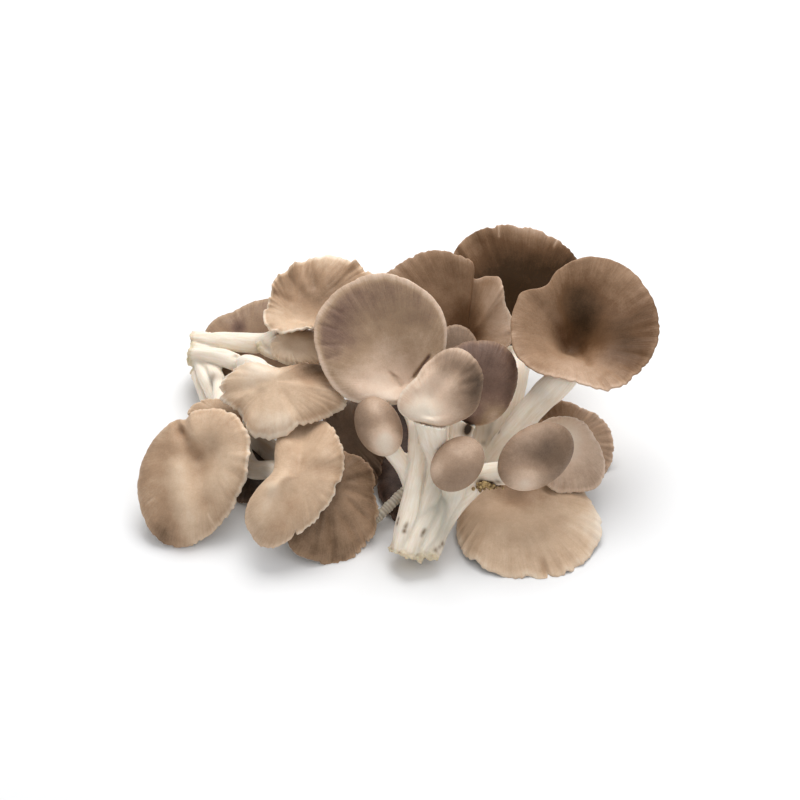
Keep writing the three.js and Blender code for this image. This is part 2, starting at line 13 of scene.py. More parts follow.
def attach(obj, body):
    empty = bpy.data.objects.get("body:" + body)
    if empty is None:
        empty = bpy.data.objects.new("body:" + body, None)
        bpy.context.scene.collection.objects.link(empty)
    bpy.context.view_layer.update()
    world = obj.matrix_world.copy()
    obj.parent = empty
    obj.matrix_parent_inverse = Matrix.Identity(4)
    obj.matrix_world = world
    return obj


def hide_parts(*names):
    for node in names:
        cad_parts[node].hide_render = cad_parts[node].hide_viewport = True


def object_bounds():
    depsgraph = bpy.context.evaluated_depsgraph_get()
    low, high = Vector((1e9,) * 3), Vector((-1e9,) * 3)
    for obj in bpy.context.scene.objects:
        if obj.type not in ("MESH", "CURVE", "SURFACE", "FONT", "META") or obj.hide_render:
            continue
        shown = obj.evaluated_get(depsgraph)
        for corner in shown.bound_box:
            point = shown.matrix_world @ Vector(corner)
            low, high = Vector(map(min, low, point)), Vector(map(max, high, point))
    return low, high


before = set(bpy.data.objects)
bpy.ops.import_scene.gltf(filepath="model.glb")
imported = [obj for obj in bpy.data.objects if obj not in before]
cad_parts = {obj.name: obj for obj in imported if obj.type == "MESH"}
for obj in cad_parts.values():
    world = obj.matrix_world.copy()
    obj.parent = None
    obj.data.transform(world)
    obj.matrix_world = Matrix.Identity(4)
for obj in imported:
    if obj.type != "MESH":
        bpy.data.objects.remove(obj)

bl_info = {
    "name": "Oyster Mushroom Cluster",
    "version": (1, 0, 0),
    "blender": (4, 5, 0),
    "location": "3D View > Sidebar > Mushrooms",
    "description": "Builds a heap of oyster mushroom clumps around its packed solids",
    "category": "Add Mesh",
}

CAD_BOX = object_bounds()
MM = 0.001
HEAP_SHIFT = (0.97, -7.68, 0)  # puts the middle of the heap over the origin
BODY = "root"

# ---- sizes shared by every cap and stem, in millimetres
FLESH = 5.5  # thickness of a full-grown cap over its stem
RIM = 1.3  # thickness of its rim
FLESH_TAPER = 1.6  # how fast the flesh thins towards the rim
CLOSED_SWEEP = 80  # a cap swept further than this is a closed bud
NECK_BED = 0.6  # share of a cap's flesh that stays over the end of its stem's neck
NECK_START = 0.55  # share of the last stretch of a stem where its neck widens
TRIM_HEIGHT = 6  # height over a cap up to which its clump's stems are pressed into it
OWN_TRIM_HEIGHT = 60  # the same for the stem that carries the cap
FLOOR_GAP = 0.02  # height of the lowest flesh over the floor
RIM_ON_FLOOR = 0.3  # thickness that a rim lying on the floor keeps

# ---- rims and skins; shares are of a cap's own size
RIM_LIMIT = 1.4  # a full-grown rim is at most this many times RIM thick
MARGIN_FROM = 0.7  # share of the way from navel to rim where the margin starts to turn down
FRAYED_FROM = 0.8  # where the fraying starts to show
BITE_SHARE = 0.011  # how deep the coarse bites in a frayed rim go
TOOTH_SHARE = 0.005  # how deep its fine teeth go
SMOOTH_SIDE = 0.15  # how much of its waves and fraying a rim keeps on its smooth side
PALE_FROM = 0.89  # share of the way from navel to rim where the pale edge begins
PALE_EDGE = 0.14  # how much paler it is where a cap names no edge
SKIN_WAVE = 24  # length of the longest soft wave in a skin, in millimetres
BUD_TURN = (0.1, 0.7)  # where a bud's flesh turns from the bud's axis to square with its skin
GILL_RISE, GILL_FADE = (0.12, 0.35), 0.12  # where the gills rise from the stem and fade at the rim
GILL_TINT = (0.1, 0.3)  # where their colour begins

# Waves round a rim or a stem: smallest and largest count, and how fast the small ones fade.
BITES = (9, 40, 0.6)
TEETH = (48, 84, 0.2)
CRIMPS = (8, 46, 0.7)
CREASES = (2, 9, 0.9)

# ---- stem flesh, in millimetres
GROOVE_DEPTH = 1.1  # depth of the groove where two stems have grown together
GROOVE_REACH = 0.9  # half width of that groove
GROOVE_SHADE = 0.12  # painted shade in that groove, as a share of the greyed colour
CRACK_DEPTH = 0.4  # how far a stained or cracked place lies below the flesh around it
THICK_STEM = 6  # a stem of this radius or more has creases of full height
SWELL_LENGTH, SWELL_HEIGHT = 26, 0.3  # long soft swells along the stems
CUT_LENGTH = 3.5  # how far the crumbly flesh reaches from a cut end
CRUMBLE_LENGTH, CRUMBLE_HEIGHT = 3.2, 0.45  # the crumbly waves there
STEM_TURN = 1.7  # radians by which one stem's creases are turned from the next stem's
TWIST, TWIST_LENGTH = 0.25, 13  # how the creases wind along a stem
GRAIN_LENGTH = 18  # length of stem to one unit of the fibre pattern
SMOOTHING_ROUNDS = 3  # how often the joins of a clump's stems are smoothed
ASIDE = (0.3, 0.9, 0.2)  # a direction that no stem starts along
POINTS_AT_ONCE = 2000  # points measured against the stems in one go

# ---- how finely the pieces are made: facets round, rings on the skin, rings on the underside
FINENESS = {"large": (336, 30, 18), "small": (224, 26, 16)}
RIM_STEPS = 5  # facets round the rim's edge
FACETS_A_GILL = 4  # facets round the cap for one gill and the gap beside it

# Every cap and its stem.
#   at      middle of the rim's plane
#   pitch   how steeply the face looks up; yaw, its turn to the right; roll, in its own plane
#   half    half width and half height of the rim; navel, the place over the stem
#   dome    height of the middle, below 0 in a dished cap; sweep, how far the skin bends over
#   dip     depth and reach of the hollow over the stem; margin, how far the rim turns down
#   flesh   thickness over the stem, and rim, of the rim, where they are not the usual ones
#   lobes   waves of the rim's outline: count, share, phase
#   notches gaps in the outline: angle, width, share
#   waves   waves up and down: count, height, phase
#   folds   ridges and valleys from navel to rim: angle, width, height
#   bend    saddle along x, along y, and across
#   stem    points and radii from the cut end to the neck; neck, radius where it meets the cap
#   skin    its finish; base, how brown it is, from 0, cream, to 1, darkest
#   spots   browner or paler places: x, y, radius, amount, in shares of half; some are painted shade and light, noted at their cap
#   creases lines from x, y to x, y, in shares of half: width, height, how much browner, mostly painted
#   shade in a valley and painted light on a ridge, besides a few real pale cracks and scratches
#   crimp   height of the small waves at the rim; ragged, how frayed the rim is
#   rough   angle and width of the side that is crimped and frayed, where it is not all round
#   splits  tears in the rim: angle, width, share
#   edge    how much paler the skin gets at the rim
#   size    fineness of the mesh, "small" for a small cap
CAPS = {
    "front_cap_large": dict(
        at=(-8.5, 9, 73), pitch=44, yaw=-4, roll=3, half=(31, 31.5), navel=(12, -20),
        dome=-4, sweep=40, dip=(5, 0.28), margin=2.5,
        waves=((2, 1.6, 70), (3, 0.8, 200)),
        lobes=((1, 0.023, 178), (2, 0.013, 308), (3, 0.006, 123), (4, 0.009, 185), (5, 0.018, 98)),
        stem=((0, -66.5, 8, 6), (4, -54.5, 22, 5), (7.5, -37.5, 37, 4.5), (8.5, -28, 50, 5)), neck=8,
        skin="purple_brown_cap",
        base=0.49, crimp=0.12, ragged=0.25, edge=0.3,
        spots=((-0.1, 0.72, 0.4, 0.12), (-0.75, 0.1, 0.38, 0.25), (-0.56, 0.59, 0.3, 0.15),
               (0.6, 0.5, 0.4, 0.1), (0.25, -0.8, 0.5, -0.24), (-0.2, -0.75, 0.4, -0.2),
               (0.1, -0.1, 0.35, -0.05)),
        # The second crease's strong tint is painted shadow in the seam under the tongue cap's rim; the
        # small tints of the others are painted shade in their valleys.
        creases=((0.27, -0.68, 0.15, -0.52, 1.0, -1.3, 0.12),
                 (0.47, -0.54, 0.7, -0.26, 0.8, -1.2, 0.35), (0.05, -0.05, 0.05, 0.1, 13, -2.6, 0),
                 (-0.45, -0.72, 0.2, -0.88, 4, 1.4, 0),
                 (-0.93, 0.22, -0.69, 0.16, 0.9, -0.4, 0.03),
                 (-0.9, -0.08, -0.62, -0.07, 0.9, -0.4, 0.03),
                 (-0.83, 0.5, -0.6, 0.4, 0.9, -0.35, 0.03),
                 (-0.86, -0.3, -0.65, -0.22, 0.9, -0.35, 0.03),
                 (-0.5, 0.82, -0.4, 0.62, 0.9, -0.3, 0.02)),
    ),
    "front_cap_tongue": dict(
        at=(20, -28, 74.5), pitch=38, yaw=6, roll=-4, half=(19, 17.5), navel=(-6.5, -11.5),
        dome=3, sweep=50, dip=(2, 0.3), margin=2, bend=(-2, 0, 3),
        waves=((2, 1, 20), (3, 0.8, 100)),
        lobes=((2, 0.115, 90), (3, 0.07, 229), (4, 0.015, 165), (5, 0.024, 322), (6, 0.028, 138)),
        notches=((147, 22, 0.14),),
        stem=((5, -67, 8, 6), (12, -51.5, 22, 5.5), (17.5, -38.5, 38, 5.5)), neck=8,
        skin="grey_brown_cap",
        base=0.31, crimp=0.12, ragged=0.25,
        spots=((0.88, 0.1, 0.55, 0.48), (0.7, 0.55, 0.4, 0.2), (0.65, -0.5, 0.4, 0.18),
               (-0.55, -0.55, 0.5, -0.25), (0, 0.85, 0.45, 0.3), (0.0, 0.25, 0.3, -0.1)),
        creases=((-0.07, 0.69, -0.66, 0.08, 3, 1.0, -0.05),
                 (0.24, 0.53, -0.29, -0.16, 3, -1.2, 0.0),
                 (0.39, 0.37, 0.71, 0.61, 1.4, -0.5, 0.04),
                 (0.42, 0.15, 0.75, 0.25, 1.4, -0.5, 0.05),
                 (0.39, -0.08, 0.71, -0.09, 1.4, -0.5, 0.05),
                 (-0.61, -0.45, -0.3, -0.6, 4.5, 1.3, -0.1)),
    ),
    "front_cap_side": dict(
        at=(37.5, -5.5, 60), pitch=40, yaw=14, roll=-9, half=(18.5, 20.5), navel=(-7, -12),
        dome=3.5, sweep=50, dip=(2, 0.3), margin=2,
        waves=((2, 1, 0),), lobes=((1, 0.011, 179), (2, 0.019, 95), (3, 0.038, 87), (4, 0.015, 177)),
        stem=((9, -67, 8, 6), (17.5, -52.5, 20, 5), (25, -36.5, 33, 4.5)), neck=7,
        skin="purple_brown_cap",
        base=0.82, crimp=0.12, ragged=0.3, spots=((0.3, -0.9, 0.4, -0.45),),
    ),
    "front_cap_behind": dict(
        at=(26.5, 18.5, 58), pitch=42, yaw=5, roll=-3, half=(11, 13), navel=(0, -8),
        dome=3, sweep=50, dip=(1, 0.3), margin=1, flesh=4,
        stem=((8, -67, 8, 5), (16, -46, 22, 4), (21, -22, 31, 3.5), (24, 10, 38, 3.5)), neck=4.5,
        skin="grey_brown_cap", size="small",
        base=0.7, crimp=0.12, ragged=0.4,
    ),
    "front_bud_left": dict(
        at=(-9.4, -29, 53), pitch=48, yaw=-24, roll=44, half=(10.3, 14.4), navel=(0, -1),
        dome=10.5, sweep=98, flesh=6, rim=2.2,
        stem=((-1, -65, 8, 5.5), (4, -55, 16, 4.5), (5.5, -47, 25, 4), (2.5, -38, 34, 4)), neck=6,
        skin="grey_brown_cap", size="small",
        base=0.66, crimp=0, ragged=0,
        spots=((0.45, 0.6, 0.5, -0.3), (-0.1, -0.8, 0.6, -0.6), (0.45, -0.55, 0.4, -0.3)),
    ),
    "front_bud_middle": dict(
        at=(25.8, -46.2, 46), pitch=52, yaw=-6, roll=-36, half=(10.9, 13.8), navel=(1, -1),
        dome=8.5, sweep=98, flesh=6, rim=2.2,
        stem=((12, -67, 8, 5), (18.5, -55, 16, 5), (23.5, -48, 26, 5)), neck=6.5,
        skin="grey_brown_cap", size="small",
        base=0.5, crimp=0, ragged=0,
        spots=((-0.06, 0.6, 0.45, -0.14), (-0.5, -0.65, 0.4, -0.2), (0.5, -0.2, 0.5, 0.1)),
    ),
    "front_bud_right": dict(
        at=(61.5, -39, 44), pitch=52, yaw=14, roll=25, half=(19.6, 13.6), navel=(-8, -2),
        dome=7.5, sweep=92, flesh=6, rim=2,
        stem=((12.5, -67, 8, 5.5), (19, -54, 15, 5.5), (27.5, -45, 24, 5.5), (38, -39.5, 32, 5.5)),
        neck=6.5,
        skin="grey_brown_cap", size="small",
        base=0.6, crimp=0, ragged=0.1,
        spots=((0.3, 0.7, 0.45, -0.12), (0.1, -0.15, 0.7, 0.32), (-0.6, -0.5, 0.55, -0.5)),
    ),
    "front_cap_under": dict(
        at=(3.3, 1, 9), pitch=80, yaw=8, roll=-10, half=(15.5, 41), navel=(-1, -18),
        dome=3, sweep=50, dip=(1, 0.3), margin=1, flesh=4.5,
        waves=((3, 0.8, 0),), lobes=((3, 0.04, 40), (5, 0.03, 0)),
        stem=((7, -64, 8, 5), (5, -48, 7, 4), (2, -32, 5.5, 3.8)), neck=5,
        skin="purple_brown_cap", size="small",
        # Its near-darkest brown is painted shade: this hidden cap closes the shaded hollow behind the
        # front stems.
        base=0.95, crimp=1.2, ragged=1.6,
    ),
    "right_cap_trumpet": dict(
        at=(87, 13.5, 80), pitch=64, yaw=12, roll=-9, half=(33, 35), navel=(-5, -5),
        dome=-10, sweep=42, dip=(14, 0.24), margin=2.5,
        waves=((3, 1.4, 40), (5, 1, 10), (2, 1.2, 180)),
        lobes=((2, 0.07, 36), (3, 0.048, 191), (4, 0.009, 66), (5, 0.02, 344), (6, 0.015, 232)),
        notches=((138, 15, 0.16), (154, 6, -0.05)),
        stem=((41, -15.5, 10, 8), (50.5, -13.5, 30, 6.5), (65, -7.5, 50, 6.5), (75.5, -4, 62, 7)),
        neck=10,
        skin="dark_brown_cap",
        base=0.52, crimp=0.9, ragged=1.2, rough=(-75, 70),
        # The dark middle spots are partly the skin's own colour and partly painted shade down the
        # funnel; the paler spot at the bottom is painted light on the near wall.
        spots=((-0.05, 0.5, 0.35, 0.18), (-0.03, 0.2, 0.38, 0.36), (0.8, 0.1, 0.5, 0.22),
               (0.5, -0.35, 0.4, 0.25), (-0.15, -0.85, 0.45, -0.2), (-0.8, 0.1, 0.4, 0.04)),
        creases=((0, -0.1, 0.02, -0.5, 1.6, -1.4, 0.08), (-0.31, 0.88, 0.1, 0.95, 2, 1, 0)),
    ),
    "right_cap_back": dict(
        at=(57.5, 64.5, 62), pitch=50, yaw=4, roll=-3, half=(31.5, 32), navel=(2, -19),
        dome=-9, sweep=45, dip=(4, 0.3), margin=1.5,
        waves=((2, 1, 0), (3, 0.8, 0)),
        lobes=((1, 0.03, 203), (2, 0.042, 318), (3, 0.031, 74), (4, 0.009, 214), (5, 0.01, 75)),
        stem=((39, -13, 10, 7), (47.5, -3.5, 27, 6.5), (54, 14, 40, 6.5)), neck=9,
        skin="dark_brown_cap",
        # Its near-darkest base is partly painted shade, since the cap lies low behind the others; the
        # paler spots at its top are painted light on its upper rim.
        base=1.06, crimp=0.5, ragged=0.6,
        spots=((0, 1.1, 0.55, -0.6), (-0.8, 0.5, 0.4, -0.4), (0.6, 0.85, 0.4, -0.4)),
        creases=((-0.29, 0.93, -0.28, 0.74, 0.5, -0.4, -0.3), (0.64, 0.71, 0.58, 0.6, 0.5, -0.3, -0.25)),
    ),
    "right_cap_lobed": dict(
        at=(20.5, 42, 64), pitch=46, yaw=-4, roll=3, half=(33.5, 28.5), navel=(11, -14.5),
        dome=-7, sweep=45, dip=(5, 0.32), margin=2,
        waves=((2, 1.2, 120),),
        lobes=((1, 0.013, 232), (2, 0.044, 269), (3, 0.021, 275), (4, 0.026, 216), (5, 0.019, 199),
               (6, 0.028, 206)),
        notches=((50, 8, 0.26),), folds=((49, 11, -7), (20, 14, 3)),
        stem=((37, -11.5, 10, 6), (40.5, -2, 26, 6), (38, 10.5, 40, 6)), neck=9,
        skin="dark_brown_cap",
        base=0.6, crimp=0.3, ragged=0.6,
        spots=((0.4, 0, 0.22, 0.2), (0.35, -0.4, 0.35, 0.25), (0.8, 0.1, 0.4, -0.28),
               (0.85, -0.4, 0.35, -0.3), (-0.6, 0.5, 0.4, -0.08)),
    ),
    "right_cap_low": dict(
        at=(80, -17, 24.3), pitch=58, yaw=24, roll=-17, half=(17.5, 20), navel=(-6, 7),
        dome=5, sweep=60, dip=(2, 0.3), margin=1.5,
        waves=((5, 0.6, 0),), lobes=((1, 0.008, 194), (2, 0.043, 278), (3, 0.034, 302), (4, 0.042, 201)),
        stem=((43.5, -17, 10, 6), (57, -13.5, 12, 5.5), (69.5, -12, 13, 5.5)), neck=7,
        skin="grey_brown_cap",
        base=0.33, crimp=0.4, ragged=0.5, spots=((-0.15, 0.35, 0.5, -0.3), (0.5, -0.6, 0.5, 0.1)),
    ),
    "right_cap_outer": dict(
        at=(84, 3, 13), pitch=50, yaw=20, roll=-13, half=(20, 20.5), navel=(-4.5, 1.5),
        dome=-4, sweep=45, dip=(3, 0.3), margin=1,
        waves=((3, 0.8, 0),), lobes=((1, 0.014, 200), (2, 0.058, 276), (3, 0.046, 349), (4, 0.047, 157)),
        stem=((43, -13, 10, 6), (57.5, -4.5, 12, 5), (72, -0.5, 10, 5)), neck=6,
        skin="dark_brown_cap",
        # Its darker spot at the upper left is painted shade on the cap's far side.
        base=0.4, crimp=0.5, ragged=0.7, spots=((-0.6, 0.8, 0.5, 0.3), (0.2, 0.1, 0.5, -0.1)),
    ),
    "right_cap_floor": dict(
        at=(59.5, -46.3, 8), pitch=80, yaw=4, roll=-3, half=(36, 29.5), navel=(-10, 19),
        dome=3.5, sweep=45, dip=(3, 0.3), margin=2,
        waves=((3, 1, 0), (5, 0.8, 60)),
        lobes=((2, 0.052, 137), (4, 0.03, 207), (5, 0.019, 320), (6, 0.014, 352)),
        notches=((-125, 35, 0.06),),
        stem=((41.5, -18.5, 9, 6), (45.5, -19.5, 7, 5.5)), neck=6,
        skin="tan_cap",
        base=0.34, crimp=0.6, ragged=0.9,
        spots=((-0.6, 0, 0.5, -0.05), (0.95, 0, 0.35, -0.25), (0.2, -0.85, 0.3, 0.02),
               (-0.1, 0.55, 0.3, 0.25)),
        creases=((0.19, -0.9, 0.15, -0.7, 1.2, -1.1, 0.08), (-0.6, -0.5, -0.2, 0.1, 5, 1, 0),
                 (0.5, -0.3, 0.2, 0.3, 5, -1, 0)), splits=((-76, 2, 0.05),),
    ),
    "left_cap_pleated": dict(
        at=(-36.5, 50.5, 67), pitch=72, yaw=-8, roll=6, half=(28.5, 23), navel=(-13, -9.5),
        dome=-6, sweep=45, dip=(3, 0.3), margin=2,
        waves=((3, 1.5, 60), (5, 1, 0)),
        lobes=((2, 0.046, 86), (3, 0.071, 273), (4, 0.041, 122), (5, 0.05, 38), (6, 0.03, 272)),
        notches=((-5, 26, 0.2),),
        stem=((-103.5, 63, 27, 4.3), (-91.5, 59, 30, 4.5), (-77.5, 52.5, 34, 4.9),
              (-65, 46.5, 39, 5.3), (-58, 43, 46, 6)),
        neck=8,
        skin="tan_cap",
        base=0.55, crimp=1.2, ragged=1.1, edge=0.3,
        spots=((-0.5, -0.6, 0.6, -0.3), (0, 1, 0.35, -0.25), (-0.1, 0, 0.5, 0.16)),
        creases=((-0.6, -0.04, -0.95, 0.12, 1.9, -1, 0.04), (-0.44, 0.21, -0.76, 0.62, 2, -1, 0.04),
                 (-0.18, 0.32, -0.31, 0.95, 2, -1.1, 0.04), (0.17, 0.32, 0.34, 0.87, 2.2, -1.1, 0.04),
                 (-0.3, 0.2, -0.5, 0.8, 2, 0.8, -0.04), (0, 0.3, 0, 0.9, 2, 0.8, -0.04)),
    ),
    "left_cap_dark": dict(
        at=(-73, 60.5, 20), pitch=44, yaw=6, roll=16, half=(27.5, 28), navel=(-3, -3),
        dome=5, sweep=55, dip=(1, 0.3), margin=1.5,
        waves=((3, 0.8, 0),),
        lobes=((1, 0.025, 2), (2, 0.031, 82), (3, 0.017, 113), (4, 0.049, 128)),
        notches=((100, 24, 0.1),),
        stem=((-102, 56, 20, 5), (-101, 66, 16, 4.5), (-89, 75, 10, 4.5)), neck=6.5,
        skin="purple_brown_cap",
        base=0.6, crimp=0.3, ragged=0.5, spots=((-0.1, 0.54, 0.12, 0.25),),
    ),
    "left_cap_lip": dict(
        at=(-46.5, 34.5, 46), pitch=62, yaw=8, roll=-14, half=(16, 11), navel=(-7, 1),
        dome=2, sweep=45, dip=(1, 0.3), margin=1.5, flesh=4.5,
        waves=((3, 1.2, 30),), lobes=((3, 0.05, 200), (5, 0.04, 60)),
        stem=((-66, 45.5, 38, 5), (-59.5, 40, 39, 4.5)), neck=5.5,
        skin="tan_cap",
        # Both darker spots are painted shade: at its top, under the pleated cap, and along its lower
        # rim, over the gap to the fan cap.
        base=0.18, crimp=0.8, ragged=1.2, spots=((0, 0.9, 0.4, 0.3), (0.3, -0.95, 0.3, 0.7)),
        splits=((-95, 4, 0.1),),
    ),
    "left_cap_fan": dict(
        at=(-54.5, -5.4, 51.6), pitch=62, yaw=2, roll=-1, half=(29, 18.5), navel=(-3.5, 5.5),
        dome=4, sweep=50, dip=(1.5, 0.3), margin=3,
        waves=((3, 1.5, 90), (5, 1, 0), (9, 0.6, 0)),
        lobes=((2, 0.015, 82), (3, 0.108, 69), (4, 0.063, 271), (5, 0.053, 241), (6, 0.035, 348)),
        notches=((-73, 8, 0.08),), folds=((30, 30, -5),),
        stem=((-103.5, 55, 25.5, 4.3), (-91.5, 49.5, 28, 4.2), (-77.5, 37, 33, 4.4),
              (-67.5, 25.5, 39, 5.2)),
        neck=7.5,
        skin="tan_cap",
        base=0.36, crimp=0.65, ragged=1.8, edge=0.32,
        # The darker spot at its upper right is painted shade under the lip cap.
        spots=((-0.35, 0.6, 0.35, -0.3), (0.5, 0.75, 0.35, 0.5), (-0.7, 0.1, 0.4, -0.08),
               (-0.1, -0.8, 0.4, -0.25)),
        creases=((-0.6, 0.85, -0.3, 0.45, 5, 2, 0), (0.01, -0.02, 0.24, -0.59, 2, -0.7, 0.0),
                 (-0.36, -0.01, -0.4, -0.75, 2.2, -0.7, 0.0), (0.5, 0.05, 0.75, -0.25, 2, -0.6, 0.02),
                 (-0.5, 0.1, -0.9, 0.05, 2.2, -0.8, 0.0), (-0.6, -0.1, -0.8, -0.5, 2, -0.7, 0.0)),
    ),
    "left_cap_corner": dict(
        at=(-96, -34, 27), pitch=46, yaw=-14, roll=-5, half=(25.5, 33.5), navel=(4, 12),
        dome=5, sweep=60, dip=(6, 0.26), margin=2,
        waves=((2, 1.5, 60), (3, 1.2, 0)),
        lobes=((2, 0.066, 91), (3, 0.035, 132), (4, 0.007, 324), (5, 0.007, 251)),
        notches=((121, 7, 0.07),),
        stem=((-102, 51.5, 14.5, 3.4), (-96, 43.5, 13, 3.3), (-90, 32.5, 14, 3.6),
              (-87, 14, 17, 4.5), (-90, -4, 20, 5.5)),
        neck=8,
        skin="tan_cap",
        base=0.41, crimp=0.8, ragged=2, edge=0.32, rough=(20, 75),
        spots=((0.6, 0.2, 0.4, -0.15), (-0.75, 0, 0.5, 0.12), (-0.2, -0.95, 0.4, 0.3)),
        creases=((-0.65, 0.72, -0.39, 0.53, 2, -1.6, 0.06), (-0.39, 0.53, -0.02, 0.27, 3, -2.4, 0.06),
                 (-0.3, 0.85, -0.05, 0.52, 4, 1.6, -0.06), (-0.21, 0.03, 0.25, -0.73, 6, 1.8, -0.2),
                 (0.05, 0.2, 0.38, -0.3, 4, -1.3, 0.04), (-0.66, -0.54, -0.54, -0.44, 0.5, -0.4, -0.12),
                 (0.5, -0.45, 0.64, -0.6, 0.5, -0.5, -0.14)), splits=((-42, 1.6, 0.04),),
    ),
    "left_cap_tucked": dict(
        at=(-83.5, -3.5, 36), pitch=60, yaw=-10, roll=7, half=(14, 11), navel=(0, 0),
        dome=3, sweep=50, dip=(1, 0.3), flesh=4.5,
        lobes=((1, 0.097, 214), (2, 0.112, 331), (3, 0.048, 99), (4, 0.037, 344)),
        stem=((-102.5, 52.5, 20, 4), (-94, 46, 22, 4), (-88, 32, 26, 4), (-85.5, 14, 31, 4)), neck=5,
        skin="tan_cap", size="small",
        base=0.42, crimp=0.4, ragged=1,
    ),
    "left_cap_saddle": dict(
        at=(-47, -46, 36), pitch=46, yaw=10, roll=-35, half=(18.5, 33.5), navel=(0, 1.5),
        dome=4, sweep=55, dip=(3, 0.3), margin=2.5, bend=(0, 0, -5),
        waves=((2, 2, 20), (3, 1, 0)),
        lobes=((2, 0.021, 268), (3, 0.075, 61), (4, 0.039, 230), (5, 0.042, 40), (6, 0.028, 210)),
        notches=((172, 26, 0.3),), folds=((125, 45, -26.5),),
        stem=((-101, 53.5, 21, 4), (-90, 30, 20, 4.5), (-76, -9, 21, 5), (-69, -22.5, 20.5, 4.8),
              (-61, -26, 23, 5)),
        neck=7.5,
        skin="tan_cap",
        base=0.38, crimp=0.8, ragged=2, edge=0.34, rough=(0, 75), spots=((0, -0.85, 0.4, 0.08),),
        creases=((-0.3, -0.7, -0.42, -0.24, 4.5, 1.6, -0.13), (-0.42, -0.24, -0.38, 0.1, 3.5, 2, -0.08),
                 (-0.3, 0.14, 0.75, 0.37, 4.5, -1.8, 0.05), (0.1, -0.2, 0.3, -0.6, 2.5, -0.8, 0.03)),
        splits=((-47, 2.4, 0.07),),
    ),
    "left_cap_low": dict(
        at=(-31, -45, 18), pitch=50, yaw=24, roll=-26, half=(23, 28.5), navel=(-3.5, 10),
        dome=4, sweep=50, dip=(2, 0.3), margin=2,
        waves=((3, 1, 0), (7, 0.8, 0)),
        lobes=((2, 0.01, 89), (3, 0.011, 250), (4, 0.021, 191), (6, 0.029, 280)),
        stem=((-100.5, 52, 20, 4.5), (-72.5, 10.5, 14, 4.5), (-47.5, -15, 12, 5)), neck=7,
        skin="tan_cap",
        base=0.69, crimp=0.9, ragged=1.8, rough=(10, 80), edge=0.3,
        spots=((0.3, 0.15, 0.3, -0.12), (0.7, -0.3, 0.4, -0.12)),
        creases=((0.2, 0.45, 0.8, 0.62, 1.6, -1, 0.05), (0.2, 0.3, 0.9, 0.2, 1.9, -1, 0.03),
                 (0.3, 0.12, 0.7, -0.1, 1.3, -0.7, 0.05), (0.14, -0.1, 0.65, -0.52, 2.1, -1, 0.03),
                 (-0.05, -0.2, 0.2, -0.8, 1.8, -0.9, 0.04), (-0.25, -0.1, -0.3, -0.8, 1.5, -0.7, 0.03)),
        splits=((-30, 2, 0.07), (-48, 1.6, 0.05), (20, 1.6, 0.05)),
    ),
    "left_cap_shaded": dict(
        at=(-22, -9.5, 21.5), pitch=48, yaw=40, roll=-26, half=(17, 24), navel=(-5, 6),
        dome=3, sweep=50, dip=(1, 0.3), margin=1,
        waves=((5, 0.6, 0),), lobes=((7, 0.02, 0),),
        stem=((-99.5, 52, 20, 4.5), (-68, 19, 15, 4.5), (-38.5, 3.5, 13, 5)), neck=6.5,
        skin="grey_brown_cap",
        # Its dark brown is partly the skin's own colour and partly painted shade under the front caps.
        base=0.8, crimp=1.4, ragged=2, splits=((60, 3, 0.12), (20, 3, 0.1)),
    ),
    "left_cap_under": dict(
        at=(-66, -9, 5), pitch=84, yaw=-10, roll=0, half=(17, 20), navel=(-4, 8),
        dome=2, sweep=50, dip=(1, 0.3), margin=1, flesh=4,
        waves=((3, 0.6, 0),), lobes=((3, 0.04, 0), (5, 0.03, 90)),
        stem=((-101, 50, 19, 4), (-90, 26, 9, 4), (-76, 8, 5, 3.5)), neck=4.5,
        skin="grey_brown_cap", size="small",
        # Its darkest brown is painted shade: this hidden cap closes the shaded hollow under the left
        # caps.
        base=1, crimp=0.5, ragged=1,
    ),
}

# The thick butt that joins a clump's stems where they were cut: points and radii.
BUTTS = {
    "front_stems": ((3, -67, 7.5, 7.5), (7.5, -60, 14, 7), (14, -51.5, 22, 5)),
    "right_stems": ((39, -16, 8, 9), (42, -12, 14, 9), (45, -8, 22, 5)),
    "left_stems": ((-103, 57, 24, 6), (-96, 53.5, 25, 5.5), (-88, 50, 27, 4)),
}

# Where a stem flows out over the top of its cap: points and radii of the tongue of flesh.
TONGUES = {
    "left_cap_fan": ((-77, 37, 33, 4.2), (-72, 25, 44, 4.8), (-67, 14, 51, 4.8),
                     (-62, 5, 54.5, 3.6), (-58, -1, 55, 1.6)),
}

# The small ribbed stem, from its end on the floor: points and radii.
RIBBED_STEM = (
    (-20, -48.5, 2.6, 2.2), (-13, -42, 4.6, 2.4), (-5.6, -35.7, 8, 2.4),
    (1.9, -29.1, 11.6, 2.5), (7, -24.5, 13, 2.2),
)
RIB_PITCH = 1.6  # from rib to rib
RIB_HEIGHT = 0.06  # share of the radius
RIB_SWAY = 1.3  # how unevenly they follow one another
RIB_STEP = 0.3  # length of stem to one ring of the mesh
RIBBED_FACETS = 40
RIB_GREY, RIB_STAIN, RIB_SHADE = 0.35, 0.26, 0.18  # greyed, stained, and painted shade between the ribs

# The crumbs that stick to the stems.
CRUMB_MIDDLE = (41, -46.4, 31.6)
CRUMB_SPREAD = (7, 2, 2.2)  # two standard deviations
CRUMB_SIZE = (0.4, 1.1)  # smallest and largest half width
CRUMB_HEAP = 1.5  # how high they are heaped
CRUMB_SEED = 41

